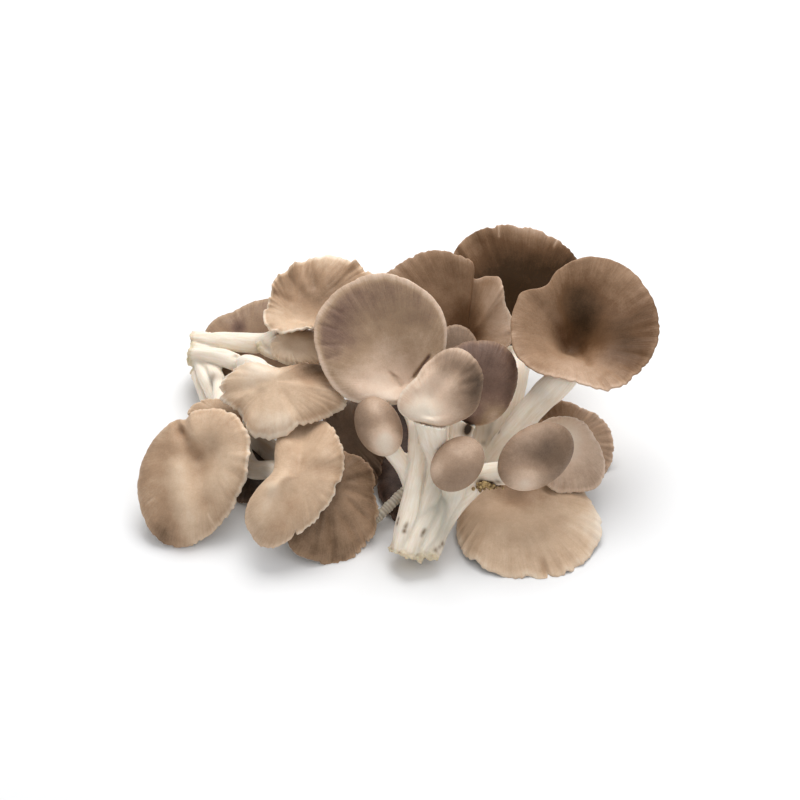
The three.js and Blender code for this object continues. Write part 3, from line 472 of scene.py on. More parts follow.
# Stained, cracked and shaded places, then greyed places, on the stems: x, y, z, radius and amount.
STAINS_AND_SHADE = (
    # The first five marks are painted shade in the hollows among the left clump's stems and caps.
    (-91.7, 33.8, 27.2, 4, 0.6), (-87, 30, 28, 3.5, 0.5), (-65.9, -2.3, 14.4, 16, 0.85),
    (-69, -24, 24, 10, 0.55), (-60, -31, 30, 9, 0.5), (-80, 40, 36.5, 1.5, 0.6),
    (-72, 36, 38, 1.5, 0.6), (-0.9, -57.2, 22.1, 0.9, 0.9), (-1.4, -58.5, 20.6, 1, 1),
    (3.2, -61.1, 22.9, 0.9, 0.5), (2.5, -62, 22, 1, 0.8), (1.9, -63.4, 20.5, 1, 1),
    (11.3, -61.8, 19.7, 0.9, 0.9), (10.6, -63, 19.2, 1, 0.9), (9.9, -64.3, 18.5, 0.9, 0.6),
    (19.5, -63.5, 12.3, 1.3, 0.9), (18, -65.5, 12.4, 1, 0.7), (16.3, -67.5, 12.5, 1.2, 0.8),
    # The last mark on this line and the first on the next are painted shade in the hole between the
    # front stems.
    (46.2, -12.6, 34.4, 1, 1), (39.2, -9.1, 24.1, 1.1, 1), (30.6, -25.5, 46.5, 3.4, 1),
    (32, -23.6, 48.4, 2.5, 1), (41, -7, 29, 5, 0.3), (36.4, -44.8, 33.4, 2, 0.9),
    (39.1, -45, 32.4, 2, 1), (41.7, -46.1, 34, 2, 0.9), (44.3, -47.8, 36.3, 1.8, 0.8),
)
GREYED = (
    (18.2, -52.4, 26.3, 7, 0.4), (20.4, -59.5, 17.3, 7, 0.4), (22.5, -53.7, 33.9, 6, 0.3),
    (9, -68, 14, 7, 0.2),
)

# The skins' colours from cream to darkest brown, at even steps of pigment and painted shading.
SKIN_TONES = {
    "purple_brown_cap": (0xE6D5C2, 0xD0B6A0, 0xA3886E, 0x745A4C, 0x3A2A22),
    "grey_brown_cap": (0xE6D7C4, 0xD1B69F, 0xA18771, 0x735D4B, 0x382A1E),
    "dark_brown_cap": (0xDFCDB8, 0xC5A890, 0x9A7B60, 0x684A30, 0x382206),
    "tan_cap": (0xEADAC6, 0xD2B79B, 0xAC8D71, 0x745B44, 0x38281A),
}

# How closely streaks and fibres stand: twice across them, then along them.
STREAKS = (15, 15, 1.6)
FINE_STREAKS = (46, 46, 5)
STEM_FIBRES = (5, 5, 2.2)
SPECKLES = 0.16  # strength of the fine speckles in the skin
GRAIN_RELIEF = 0.22  # how high the fine grain stands beside the streaks
RELIEF_DISTANCE = 0.6 * MM
SKIN_RELIEF, STEM_RELIEF = 0.5, 0.2
HOLE_SHADE_FROM, HOLE_SHADE_SHARE = 0.86, 0.85  # how strong a mark must be before it takes the painted shade of a hole's depth, and how much

# The stage, in metres.
KEY_PLACE, KEY_SIZE = (0.04, 0.42, 1.0), 0.8
FILL_PLACE, FILL_SIZE = (0.35, -0.4, 1.1), 1.0
LIT_PLACE = (0, 0, 0.03)
ROOM_WHITE = (0.97, 0.98, 1, 1)
CAMERA_PLACE = (0.00097, -0.66538, 0.6354)
CAMERA_RISE = 42  # degrees over the floor at which the camera looks down
LENS_LENGTH, SENSOR_WIDTH = 85, 36  # millimetres


def paint(code):
    """A display colour such as 0xD8C4AC as the linear colour that a material takes."""
    shares = [((code >> shift) & 255) / 255 for shift in (16, 8, 0)]
    return [s / 12.92 if s <= 0.04045 else ((s + 0.055) / 1.055) ** 2.4 for s in shares]


# ---- seeded unevenness
def ripples(angle, rng, lowest, highest, power):
    """A random closed curve round the circle, about 1 high, with waves of the given counts."""
    total = np.zeros_like(angle)
    weight = 0.0
    for count in range(lowest, highest + 1):
        size = count ** -power
        total += size * np.cos(count * angle + rng.uniform(0, 2 * pi))
        weight += size * size
    return total / np.sqrt(weight)


def unevenness(points, rng, longest, waves=24, finest=0.3):
    """A random smooth field over points, about 1 high; longest is its longest wave in mm."""
    total = np.zeros(len(points))
    weight = 0.0
    for _ in range(waves):
        length = longest * rng.uniform(finest, 1)
        direction = rng.normal(size=3)
        direction *= 2 * pi / (length * np.linalg.norm(direction))
        size = length / longest
        total += size * np.cos(points @ direction + rng.uniform(0, 2 * pi))
        weight += size * size
    return total / np.sqrt(weight)


def smooth_between(low, high, value):
    share = np.clip((value - low) / (high - low), 0, 1)
    return share * share * (3 - 2 * share)


# ---- the shape of a cap
def away(angle, at):
    """How far angle lies from the angle `at`, in radians from -pi to pi."""
    return (angle - radians(at) + pi) % (2 * pi) - pi


def bump(angle, at, width):
    return np.exp(-(away(angle, at) / radians(width)) ** 2)


def nearness(x, y, start, end, width):
    """1 on the line from start to end, fading over width to either side."""
    line_x, line_y = end[0] - start[0], end[1] - start[1]
    square = max(line_x**2 + line_y**2, 1e-9)
    share = np.clip(((x - start[0]) * line_x + (y - start[1]) * line_y) / square, 0, 1)
    gap_x = x - start[0] - share * line_x
    gap_y = y - start[1] - share * line_y
    return np.exp(-(gap_x**2 + gap_y**2) / width**2)


def rim_share(cap, angle):
    """Share by which the rim stands in or out of its ellipse."""
    share = np.ones_like(angle)
    for count, size, phase in cap.get("lobes", ()):
        share += size * np.cos(count * angle - radians(phase))
    for at, width, size in cap.get("notches", ()):
        share -= size * bump(angle, at, width)
    return share


def skin(cap, reach, angle, fine=None):
    """Points of the top skin in the cap's own frame: reach is 0 at the navel, 1 at the rim."""
    half_x, half_y = cap["half"]
    navel_x, navel_y = cap["navel"]
    sweep = radians(cap["sweep"])
    share = rim_share(cap, angle)
    out = np.sin(sweep * reach) / sin(min(sweep, pi / 2))
    if fine:
        frayed = fine["frayed"](angle) * smooth_between(FRAYED_FROM, 1, reach)
        out = out * (1 - fine["inset"] - frayed)
        for at, width, depth in cap.get("splits", ()):
            cleft = np.clip(1 - np.abs(away(angle, at)) / radians(width), 0, 1)
            out = out * (1 - depth * cleft * smooth_between(1 - 3 * depth, 1, reach))
    x = navel_x + (half_x * np.cos(angle) * share - navel_x) * out
    y = navel_y + (half_y * np.sin(angle) * share - navel_y) * out
    dip, dip_reach = cap.get("dip", (0, 1))
    saddle_x, saddle_y, twist = cap.get("bend", (0, 0, 0))
    arch = (np.cos(sweep * reach) - cos(sweep)) / (1 - cos(sweep))
    z = cap["dome"] * arch - dip * np.exp(-((reach / dip_reach) ** 2))
    turned_down = np.clip((reach - MARGIN_FROM) / (1 - MARGIN_FROM), 0, 1)
    z = z - cap.get("margin", 0) * turned_down**2
    z = z + saddle_x * (x / half_x) ** 2 + saddle_y * (y / half_y) ** 2
    z = z + twist * x * y / (half_x * half_y)
    for count, height, phase in cap.get("waves", ()):
        z = z + height * reach**2 * np.cos(count * angle - radians(phase))
    for at, width, height in cap.get("folds", ()):
        z = z + height * np.sin(reach * pi / 2) ** 1.5 * bump(angle, at, width)
    if fine:
        for x0, y0, x1, y1, width, height, _ in cap.get("creases", ()):
            near = nearness(x, y, (x0 * half_x, y0 * half_y), (x1 * half_x, y1 * half_y), width)
            z = z + height * near
        z = z + cap["crimp"] * reach**4 * fine["crimped"](angle)
        z = z + fine["uneven"](x, y) * np.minimum(1, 3 * reach)
    return np.stack([x, y, z], axis=-1)


def skin_directions(cap, reach, angle):
    """Unit directions along the skin towards the rim, and out of it."""
    step = 0.001
    place = np.clip(reach, 0.02, 1 - step)
    along = skin(cap, place + step, angle) - skin(cap, place - step, angle)
    around = skin(cap, place, angle + step) - skin(cap, place, angle - step)
    normal = np.cross(along, around)
    along /= np.linalg.norm(along, axis=-1, keepdims=True)
    normal /= np.linalg.norm(normal, axis=-1, keepdims=True)
    return along, normal


def rim_thickness(cap):
    return min(cap.get("rim", RIM), RIM * RIM_LIMIT)


def depth_below(cap, reach, gill, gill_depth):
    """Thickness from the skin to the underside, or by the share gill to a gill's edge."""
    rim = rim_thickness(cap)
    flesh = rim + (cap.get("flesh", FLESH) - rim) * (1 - reach) ** FLESH_TAPER
    rise = smooth_between(*GILL_RISE, reach)
    fade = smooth_between(0, GILL_FADE, 1 - reach)
    return flesh + gill_depth * gill * rise * fade


def placement(cap):
    """The turn and place that put a cap's own frame into the heap."""
    turn = Euler((0, 0, radians(cap["yaw"]))).to_matrix()
    turn = turn @ Euler((radians(90 - cap["pitch"]), 0, 0)).to_matrix()
    turn = turn @ Euler((0, 0, radians(cap["roll"]))).to_matrix()
    return np.array(turn), np.array(cap["at"], float) + HEAP_SHIFT


def to_heap(cap, points):
    turn, place = placement(cap)
    return points @ turn.T + place


def roughened(cap, angle):
    """1 where the rim is waved and frayed, less on its smooth side."""
    if "rough" not in cap:
        return 1.0
    at, width = cap["rough"]
    return SMOOTH_SIDE + (1 - SMOOTH_SIDE) * bump(angle, at, width)


def browning_and_shading(cap, x, y, reach):
    """How brown the skin is at the places x, y, given in shares of the cap's half sizes, with the
    painted shade and light of its spots and creases.
    """
    value = np.full_like(x, cap["base"])
    for spot_x, spot_y, radius, amount in cap.get("spots", ()):
        value += amount * np.exp(-((x - spot_x) ** 2 + (y - spot_y) ** 2) / radius**2)
    half_x, half_y = cap["half"]
    # A crease's tint is mostly painted shade along a valley and painted light along a ridge.
    for x0, y0, x1, y1, width, _, tint in cap.get("creases", ()):
        value += tint * nearness(x * half_x, y * half_y, (x0 * half_x, y0 * half_y),
                                 (x1 * half_x, y1 * half_y), width)
    edge = cap.get("edge", PALE_EDGE) * roughened(cap, np.arctan2(y, x))
    return value - edge * smooth_between(PALE_FROM, 1, reach)


# ---- meshes
def turned_form(profile, facets):
    """A closed mesh spun from a profile of (radius, height) points, both ends on the axis."""
    bm = bmesh.new()
    verts = [bm.verts.new((radius, 0, height)) for radius, height in profile]
    edges = [bm.edges.new(pair) for pair in zip(verts, verts[1:])]
    bmesh.ops.spin(
        bm, geom=verts + edges, cent=(0, 0, 0), axis=(0, 0, 1), dvec=(0, 0, 0),
        angle=2 * pi, steps=facets, use_merge=True, use_normal_flip=False, use_duplicate=False,
    )
    bmesh.ops.remove_doubles(bm, verts=bm.verts, dist=1e-5)
    bmesh.ops.recalc_face_normals(bm, faces=bm.faces)
    return bm


DISCS = {}  # one flat disc for each size of cap, copied for every cap


def flat_disc(size):
    """A spun disc with two faces: its corners hold reach, side of the flesh and angle."""
    if size not in DISCS:
        facets, top_rings, under_rings = FINENESS[size]
        top = [1 - (1 - i / top_rings) ** 1.2 for i in range(top_rings + 1)]
        under = [i / under_rings for i in range(under_rings + 1)]
        edge = [cos(pi * i / RIM_STEPS) for i in range(1, RIM_STEPS)]
        profile = [(reach, 1) for reach in top] + [(1, height) for height in edge]
        profile += [(reach, -1) for reach in reversed(under)]
        DISCS[size] = mesh_of(turned_form(profile, facets), "disc_" + size)
    return DISCS[size].copy()


def mesh_of(bm, name):
    """Turns a bmesh into a mesh and frees it."""
    mesh = bpy.data.meshes.new(name)
    bm.to_mesh(mesh)
    bm.free()
    return mesh


def corner_array(mesh):
    corners = np.empty(len(mesh.vertices) * 3)
    mesh.vertices.foreach_get("co", corners)
    return corners.reshape(-1, 3)


def move_corners(mesh, points):
    mesh.vertices.foreach_set("co", np.ascontiguousarray(points, dtype=float).ravel())
    mesh.update()


def store(mesh, name, values):
    """Keeps values on the mesh's corners, as numbers or as vectors."""
    kind, key = ("FLOAT", "value") if values.ndim == 1 else ("FLOAT_VECTOR", "vector")
    attribute = mesh.attributes.new(name, kind, "POINT")
    attribute.data.foreach_set(key, np.ascontiguousarray(values, dtype=float).ravel())


def add_piece(name, mesh, material, node):
    """Puts a finished mesh into the scene for the node that it replaces."""
    mesh.polygons.foreach_set("use_smooth", [True] * len(mesh.polygons))
    mesh.materials.append(material)
    piece = bpy.data.objects.new(name, mesh)
    bpy.context.scene.collection.objects.link(piece)
    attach(piece, BODY)
    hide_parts(node)
    return piece


def build_cap(name, settings):
    """One cap: a spun disc with two faces, moved into the cap's form."""
    cap = CAPS[name]
    size = cap.get("size", "large")
    rng = np.random.default_rng(sum(map(ord, name)))
    mesh = flat_disc(size)
    mesh.name = name + "_piece"

    flat = corner_array(mesh)
    reach = np.minimum(np.hypot(flat[:, 0], flat[:, 1]), 1)
    angle = np.arctan2(flat[:, 1], flat[:, 0])
    side = flat[:, 2]

    closed = cap["sweep"] > CLOSED_SWEEP
    gills = FINENESS[size][0] // FACETS_A_GILL
    gill = 0.5 + 0.5 * np.cos(gills * angle)
    rim = rim_thickness(cap)
    bite_seed, crimp_seed, wave_seed, tooth_seed = (rng.integers(2**31) for _ in range(4))
    ragged = cap["ragged"] * settings.ragged

    def frayed(at):
        coarse = ripples(at, np.random.default_rng(bite_seed), *BITES)
        bites = BITE_SHARE * (coarse + 0.8 * np.abs(coarse))
        teeth = TOOTH_SHARE * ripples(at, np.random.default_rng(tooth_seed), *TEETH)
        return ragged * roughened(cap, at) * (bites + teeth)

    def crimped(at):
        return roughened(cap, at) * ripples(at, np.random.default_rng(crimp_seed), *CRIMPS)

    def uneven(x, y):
        flat_points = np.stack([x, y, np.zeros_like(x)], axis=-1)
        return settings.unevenness / MM * unevenness(
            flat_points, np.random.default_rng(wave_seed), SKIN_WAVE)

    fine = {"frayed": frayed, "crimped": crimped, "uneven": uneven,
            "inset": 0 if closed else rim / 2 / min(cap["half"])}
    surface = skin(cap, reach, angle, fine)
    along, normal = skin_directions(cap, reach, angle)
    direction = np.zeros_like(surface)
    direction[:, 2] = 1
    if closed:
        square = smooth_between(*BUD_TURN, reach)[:, None]
        direction = direction * (1 - square) + normal * square
        direction /= np.linalg.norm(direction, axis=1, keepdims=True)
    depth = depth_below(cap, reach, gill, settings.gill_depth / MM)
    points = surface - direction * (depth * (1 - side) / 2)[:, None]
    points += along * (rim / 2 * np.sqrt(np.clip(1 - side**2, 0, 1)))[:, None]
    points = to_heap(cap, points)
    points[:, 2] = np.maximum(points[:, 2], RIM_ON_FLOOR * (1 + side) / 2 + FLOOR_GAP)
    move_corners(mesh, np.clip(points * MM, *CAD_BOX))

    x = surface[:, 0] / cap["half"][0]
    y = surface[:, 1] / cap["half"][1]
    store(mesh, "ray", np.stack([np.cos(angle), np.sin(angle), reach], axis=-1))
    # The pigment value also holds painted shade and light from the spots and creases.
    store(mesh, "pigment_and_shading", browning_and_shading(cap, x, y, reach))
    store(mesh, "underside", (1 - side) / 2)
    store(mesh, "gill", gill * smooth_between(*GILL_TINT, reach))
    return add_piece(name + "_skin", mesh, skin_material(cap["skin"]), name)


# ---- stems
def curve_points(points, places):
    """Points on a centripetal Catmull-Rom curve; places run from 0 to the last point's number."""
    rows = np.array(points, float)
    rows = np.vstack([2 * rows[0] - rows[1], rows, 2 * rows[-1] - rows[-2]])
    found = []
    for place in places:
        first = min(int(place), len(points) - 2)
        share = place - first
        p0, p1, p2, p3 = rows[first:first + 4]
        gaps = [max(np.sqrt(np.linalg.norm(b - a)), 1e-4)
                for a, b in ((p0, p1), (p1, p2), (p2, p3))]
        start = ((p1 - p0) / gaps[0] - (p2 - p0) / (gaps[0] + gaps[1])
                 + (p2 - p1) / gaps[1]) * gaps[1]
        end = ((p2 - p1) / gaps[1] - (p3 - p1) / (gaps[1] + gaps[2])
               + (p3 - p2) / gaps[2]) * gaps[1]
        found.append(p1 + start * share + (-3 * p1 + 3 * p2 - 2 * start - end) * share**2
                     + (2 * p1 - 2 * p2 + start + end) * share**3)
    return np.array(found)


def stem_rows(name):
    """A stem's points and radii (mm, in the heap): its own, then the neck up to the navel."""
    cap = CAPS[name]
    rows = [np.array(row, float) for row in cap["stem"]]
    navel = skin(cap, np.zeros(1), np.zeros(1))[0]
    navel[2] -= NECK_BED * cap.get("flesh", FLESH)
    bed = to_heap(cap, navel) - HEAP_SHIFT
    throat = rows[-1][:3] + (bed - rows[-1][:3]) * NECK_START
    throat_radius = rows[-1][3] + (cap["neck"] - rows[-1][3]) * NECK_START**2
    rows += [np.append(throat, throat_radius), np.append(bed, cap["neck"])]
    rows = np.array(rows)
    rows[:, :3] += HEAP_SHIFT
    return rows


def in_heap(rows):
    """Rows of x, y, z and radius from a table, shifted to their place in the heap."""
    return np.array(rows, float) + (*HEAP_SHIFT, 0)


class Stem:
    """The middle line of a stem, with a pair of directions across it that never twist."""

    def __init__(self, rows, step=1.5):
        length = np.linalg.norm(np.diff(rows[:, :3], axis=0), axis=1).sum()
        count = max(8, int(length / step))
        places = np.linspace(0, len(rows) - 1, count + 1)
        self.middle = curve_points(rows[:, :3], places)
        self.radius = np.interp(places, range(len(rows)), rows[:, 3])
        steps = np.linalg.norm(np.diff(self.middle, axis=0), axis=1)
        self.length = np.concatenate([[0], np.cumsum(steps)])
        ahead = np.gradient(self.middle, axis=0)
        ahead /= np.linalg.norm(ahead, axis=1, keepdims=True)
        across = np.cross(ahead[0], ASIDE)
        self.across = []
        for direction in ahead:
            across = across - direction * (across @ direction)
            across = across / np.linalg.norm(across)
            self.across.append(across)
        self.across = np.array(self.across)
        self.up = np.cross(ahead, self.across)


def add_rod(bm, stem, facets=28):
    """Spins a rod along a stem's middle line into the bmesh."""
    rings = len(stem.middle) - 1
    profile = [(0, 0)] + [(1, i) for i in range(rings + 1)] + [(0, rings)]
    rod = turned_form(profile, facets)
    for vert in rod.verts:
        ring = round(vert.co.z)
        spread = (stem.across[ring] * vert.co.x + stem.up[ring] * vert.co.y) * stem.radius[ring]
        vert.co = Vector((stem.middle[ring] + spread) * MM)
    bmesh.ops.recalc_face_normals(rod, faces=rod.faces)
    mesh = mesh_of(rod, "rod")
    bm.from_mesh(mesh)
    bpy.data.meshes.remove(mesh)


def grown_together(name, bm, voxel):
    """One skin round everything in the bmesh, its joins smoothed."""
    mesh = mesh_of(bm, name)
    body = bpy.data.objects.new(name, mesh)
    bpy.context.scene.collection.objects.link(body)
    remesh = body.modifiers.new("Remesh", "REMESH")
    remesh.mode = "VOXEL"
    remesh.voxel_size = voxel
    smoothing = body.modifiers.new("Smooth", "SMOOTH")
    smoothing.factor = 0.5
    smoothing.iterations = SMOOTHING_ROUNDS
    evaluated = body.evaluated_get(bpy.context.evaluated_depsgraph_get())
    joined = bpy.data.meshes.new_from_object(evaluated)
    bpy.data.objects.remove(body)
    bpy.data.meshes.remove(mesh)
    joined.name = name
    return joined


def nearest_rows(points, stems):
    """For each point the place on a stem whose surface lies nearest, and how near that comes
    to the next stem, from 0 to 1 in the groove between the two."""
    middle = np.concatenate([stem.middle for stem in stems])
    radius = np.concatenate([stem.radius for stem in stems])
    first_rows = np.cumsum([0] + [len(stem.middle) for stem in stems[:-1]])
    nearest = np.empty(len(points), int)
    groove = np.empty(len(points))
    for start in range(0, len(points), POINTS_AT_ONCE):
        some = slice(start, start + POINTS_AT_ONCE)
        apart = np.linalg.norm(points[some, None, :] - middle[None], axis=2) - radius
        nearest[some] = apart.argmin(axis=1)
        by_stem = np.partition(np.minimum.reduceat(apart, first_rows, axis=1), 1, axis=1)
        groove[some] = np.exp(-((by_stem[:, 1] - by_stem[:, 0]) / GROOVE_REACH) ** 2)
    return nearest, groove


def press_into_caps(points, clump, owner):
    """Presses what would stand out of a cap of the clump down into the cap's flesh.

    owner names for each point the cap that its stem carries, or is empty where nothing is
    pressed.
    """
    turns = np.linspace(-pi, pi, 720, endpoint=False)
    for name, cap in CAPS.items():
        if not name.startswith(clump.split("_")[0]):
            continue
        turn, place = placement(cap)
        local = (points - place) @ turn
        navel = np.array(cap["navel"], float)
        share = rim_share(cap, turns)
        rim = np.stack([cap["half"][0] * np.cos(turns) * share,
                        cap["half"][1] * np.sin(turns) * share], axis=-1) - navel
        bearing = np.unwrap(np.arctan2(rim[:, 1], rim[:, 0]))
        offset = local[:, :2] - navel
        heading = np.arctan2(offset[:, 1], offset[:, 0])
        heading = bearing[0] + (heading - bearing[0]) % (2 * pi)
        bearing = np.append(bearing, bearing[0] + 2 * pi)
        angle = np.interp(heading, bearing, np.append(turns, turns[0] + 2 * pi))
        radius = np.interp(heading, bearing, np.append(np.hypot(*rim.T), np.hypot(*rim[0])))
        out = np.hypot(*offset.T) / radius
        sweep = radians(cap["sweep"])
        limit = sin(min(sweep, pi / 2))
        reach = np.clip(np.arcsin(np.clip(out * limit, 0, limit)) / sweep, 0, 1)
        height = skin(cap, reach, angle)[:, 2]
        bed = height - NECK_BED * depth_below(cap, reach, 0, 0)
        ceiling = height + np.where(owner == name, OWN_TRIM_HEIGHT, TRIM_HEIGHT)
        inside = (out < 1) & (local[:, 2] > bed) & (local[:, 2] < ceiling) & (owner != "")
        local[inside, 2] = bed[inside]
        points[inside] = local[inside] @ turn.T + place
    return points


def marks(points, places):
    """How strongly the flesh is marked at each point, from a list of marked places."""
    value = np.zeros(len(points))
    for x, y, z, radius, amount in places:
        apart = np.linalg.norm(points - HEAP_SHIFT - (x, y, z), axis=1)
        value += amount * np.exp(-((apart / radius) ** 2))
    return np.clip(value, 0, 1)


def build_stems(name, settings):
    """All the stems of a clump grown together, creased lengthwise and cut off at the butt."""
    clump = name.split("_")[0]
    rng = np.random.default_rng(sum(map(ord, name)))
    carried = [cap for cap in CAPS if cap.startswith(clump)]
    tongues = [rows for cap, rows in TONGUES.items() if cap in carried]
    stems = [Stem(in_heap(BUTTS[name]))] + [Stem(stem_rows(cap)) for cap in carried]
    stems += [Stem(in_heap(rows)) for rows in tongues]
    owners = ["butt"] + carried + [""] * len(tongues)
    owners = np.concatenate([[owner] * len(s.middle) for owner, s in zip(owners, stems)])
    bm = bmesh.new()
    for stem in stems:
        add_rod(bm, stem)
    mesh = grown_together(name + "_piece", bm, settings.voxel)
    mesh.update()
    points = corner_array(mesh) / MM
    normals = np.array([v.normal for v in mesh.vertices])
    row, groove = nearest_rows(points, stems)
    middle, across, up, radius, length = (
        np.concatenate([getattr(stem, part) for stem in stems])[row]
        for part in ("middle", "across", "up", "radius", "length"))
    which = np.concatenate([np.full(len(s.middle), i) for i, s in enumerate(stems)])[row]
    offset = points - middle
    turned = np.arctan2((offset * up).sum(axis=1), (offset * across).sum(axis=1))
    turned = turned + STEM_TURN * which + TWIST * np.sin(length / TWIST_LENGTH + which)
    creases = ripples(turned, rng, *CREASES) * np.minimum(1, radius / THICK_STEM)
    swells = unevenness(points, rng, SWELL_LENGTH)
    cut = 1 - smooth_between(0, CUT_LENGTH, length)
    crumbly = unevenness(points, rng, CRUMBLE_LENGTH, waves=40)
    stain_and_shade = marks(points, STAINS_AND_SHADE)
    rise = settings.crease / MM * creases + SWELL_HEIGHT * swells
    rise = rise + cut * CRUMBLE_HEIGHT * crumbly - GROOVE_DEPTH * groove - CRACK_DEPTH * stain_and_shade
    points = points + normals * rise[:, None]
    points = press_into_caps(points, name, owners[row])
    points[:, 2] = np.maximum(points[:, 2], FLOOR_GAP)
    move_corners(mesh, points * MM)
    grain = [np.cos(turned), np.sin(turned), length / GRAIN_LENGTH + which]
    store(mesh, "grain", np.stack(grain, axis=-1))
    store(mesh, "cut", cut)
    store(mesh, "stain_and_shade", stain_and_shade)
    # Greyed places, and painted shade in the grooves where the stems have grown together.
    store(mesh, "greyed", np.clip(marks(points, GREYED) + GROOVE_SHADE * groove, 0, 1))
    return add_piece(name + "_flesh", mesh, stem_material(), name)


def build_ribbed_stem():
    """The small ribbed grey stem that lies in the hollow beside the front clump."""
    stem = Stem(in_heap(RIBBED_STEM), RIB_STEP)
    sway = np.sin(stem.length)
    ribs = np.cos(2 * pi * stem.length / RIB_PITCH + RIB_SWAY * sway)
    stem.radius = stem.radius * (1 + RIB_HEIGHT * (ribs + sway))
    bm = bmesh.new()
    add_rod(bm, stem, RIBBED_FACETS)
    mesh = mesh_of(bm, "front_ribbed_stem_piece")
    points = corner_array(mesh) / MM
    ring = np.linalg.norm(points[:, None] - stem.middle[None], axis=2).argmin(axis=1)
    store(mesh, "grain", points * 2 / GRAIN_LENGTH)
    store(mesh, "cut", np.zeros(len(points)))
    # Painted shade between the ribs, over an even stain.
    store(mesh, "stain_and_shade", RIB_STAIN - RIB_SHADE * ribs[ring])
    store(mesh, "greyed", np.full(len(points), RIB_GREY))
    return add_piece("front_ribbed_stem", mesh, stem_material(), "front_stems")


def build_crumbs(settings):
    """Crumbs of the growing bed that stuck under the right bud's stem."""
    rng = np.random.default_rng(CRUMB_SEED)
    stems = bpy.data.objects["front_stems_flesh"]
    bm = bmesh.new()
    for _ in range(settings.crumbs):
        near = np.array(CRUMB_MIDDLE) + HEAP_SHIFT + rng.normal(0, 0.5, 3) * CRUMB_SPREAD
        _, place, outward, _ = stems.closest_point_on_mesh(Vector(near * MM))
        middle = place + outward * rng.uniform(0, CRUMB_HEAP) * MM
        turn = Euler(rng.uniform(0, 2 * pi, 3)).to_matrix().to_4x4()
        size = Matrix.Diagonal((*rng.uniform(*CRUMB_SIZE, 3), 1))
        bmesh.ops.create_icosphere(
            bm, subdivisions=2, radius=MM, matrix=Matrix.Translation(middle) @ turn @ size)
    mesh = mesh_of(bm, "front_crumbs_piece")
    return add_piece("front_crumbs", mesh, crumb_material(), "front_stems")


# ---- materials
def feed(tree, node, inputs):
    """Links other nodes' outputs to a node's inputs, or sets them to values."""
    for key, value in inputs.items():
        if isinstance(value, bpy.types.NodeSocket):
            tree.links.new(value, node.inputs[key])
        else:
            node.inputs[key].default_value = value


def put(tree, kind, inputs=None, **settings):
    """Adds a shader node; inputs are values or the outputs of other nodes."""
    node = tree.nodes.new("ShaderNode" + kind)
    for key, value in settings.items():
        setattr(node, key, value)
    feed(tree, node, inputs or {})
    return node


def calc(tree, operation, *values):
    """The result of a Math node."""
    return put(tree, "Math", dict(enumerate(values)), operation=operation).outputs[0]


def read(tree, name, output="Fac"):
    """A value or vector kept on the mesh."""
    return put(tree, "Attribute", attribute_name=name).outputs[output]


def noise(tree, vector, scale, detail=4.0, roughness=0.6):
    inputs = {"Vector": vector, "Scale": scale, "Detail": detail, "Roughness": roughness}
    return put(tree, "TexNoise", inputs, noise_dimensions="3D").outputs["Fac"]


def ranged(tree, value, low, high, to_low=0.0, to_high=1.0):
    """A value between low and high taken to the same place between to_low and to_high."""
    inputs = {"Value": value, "From Min": low, "From Max": high, "To Min": to_low,
              "To Max": to_high}
    return put(tree, "MapRange", inputs).outputs[0]


def stretched(tree, vector, scale):
    """A vector scaled by its own amount along each axis."""
    return put(tree, "VectorMath", {0: vector, 1: scale}, operation="MULTIPLY").outputs[0]


def raised(tree, height, strength):
    inputs = {"Height": height, "Strength": strength, "Distance": RELIEF_DISTANCE}
    return put(tree, "Bump", inputs).outputs[0]


def blend_colors(tree, share, first, second):
    """The first colour, turning to the second as share goes from 0 to 1."""
    first, second = (color if isinstance(color, bpy.types.NodeSocket) else (*color, 1)
                     for color in (first, second))
    return put(tree, "Mix", {0: share, 6: first, 7: second}, data_type="RGBA").outputs[2]


def new_group(name, inputs, outputs):
    """A shader node group with named inputs and outputs."""
    tree = bpy.data.node_groups.new(name, "ShaderNodeTree")
    for way, sockets in (("INPUT", inputs), ("OUTPUT", outputs)):
        for label, kind in sockets:
            tree.interface.new_socket(label, in_out=way, socket_type="NodeSocket" + kind)
    return tree, tree.nodes.new("NodeGroupInput").outputs, tree.nodes.new("NodeGroupOutput").inputs


def place_group(tree, name, inputs):
    node = tree.nodes.new("ShaderNodeGroup")
    node.node_tree = bpy.data.node_groups[name]
    feed(tree, node, inputs)
    return node.outputs


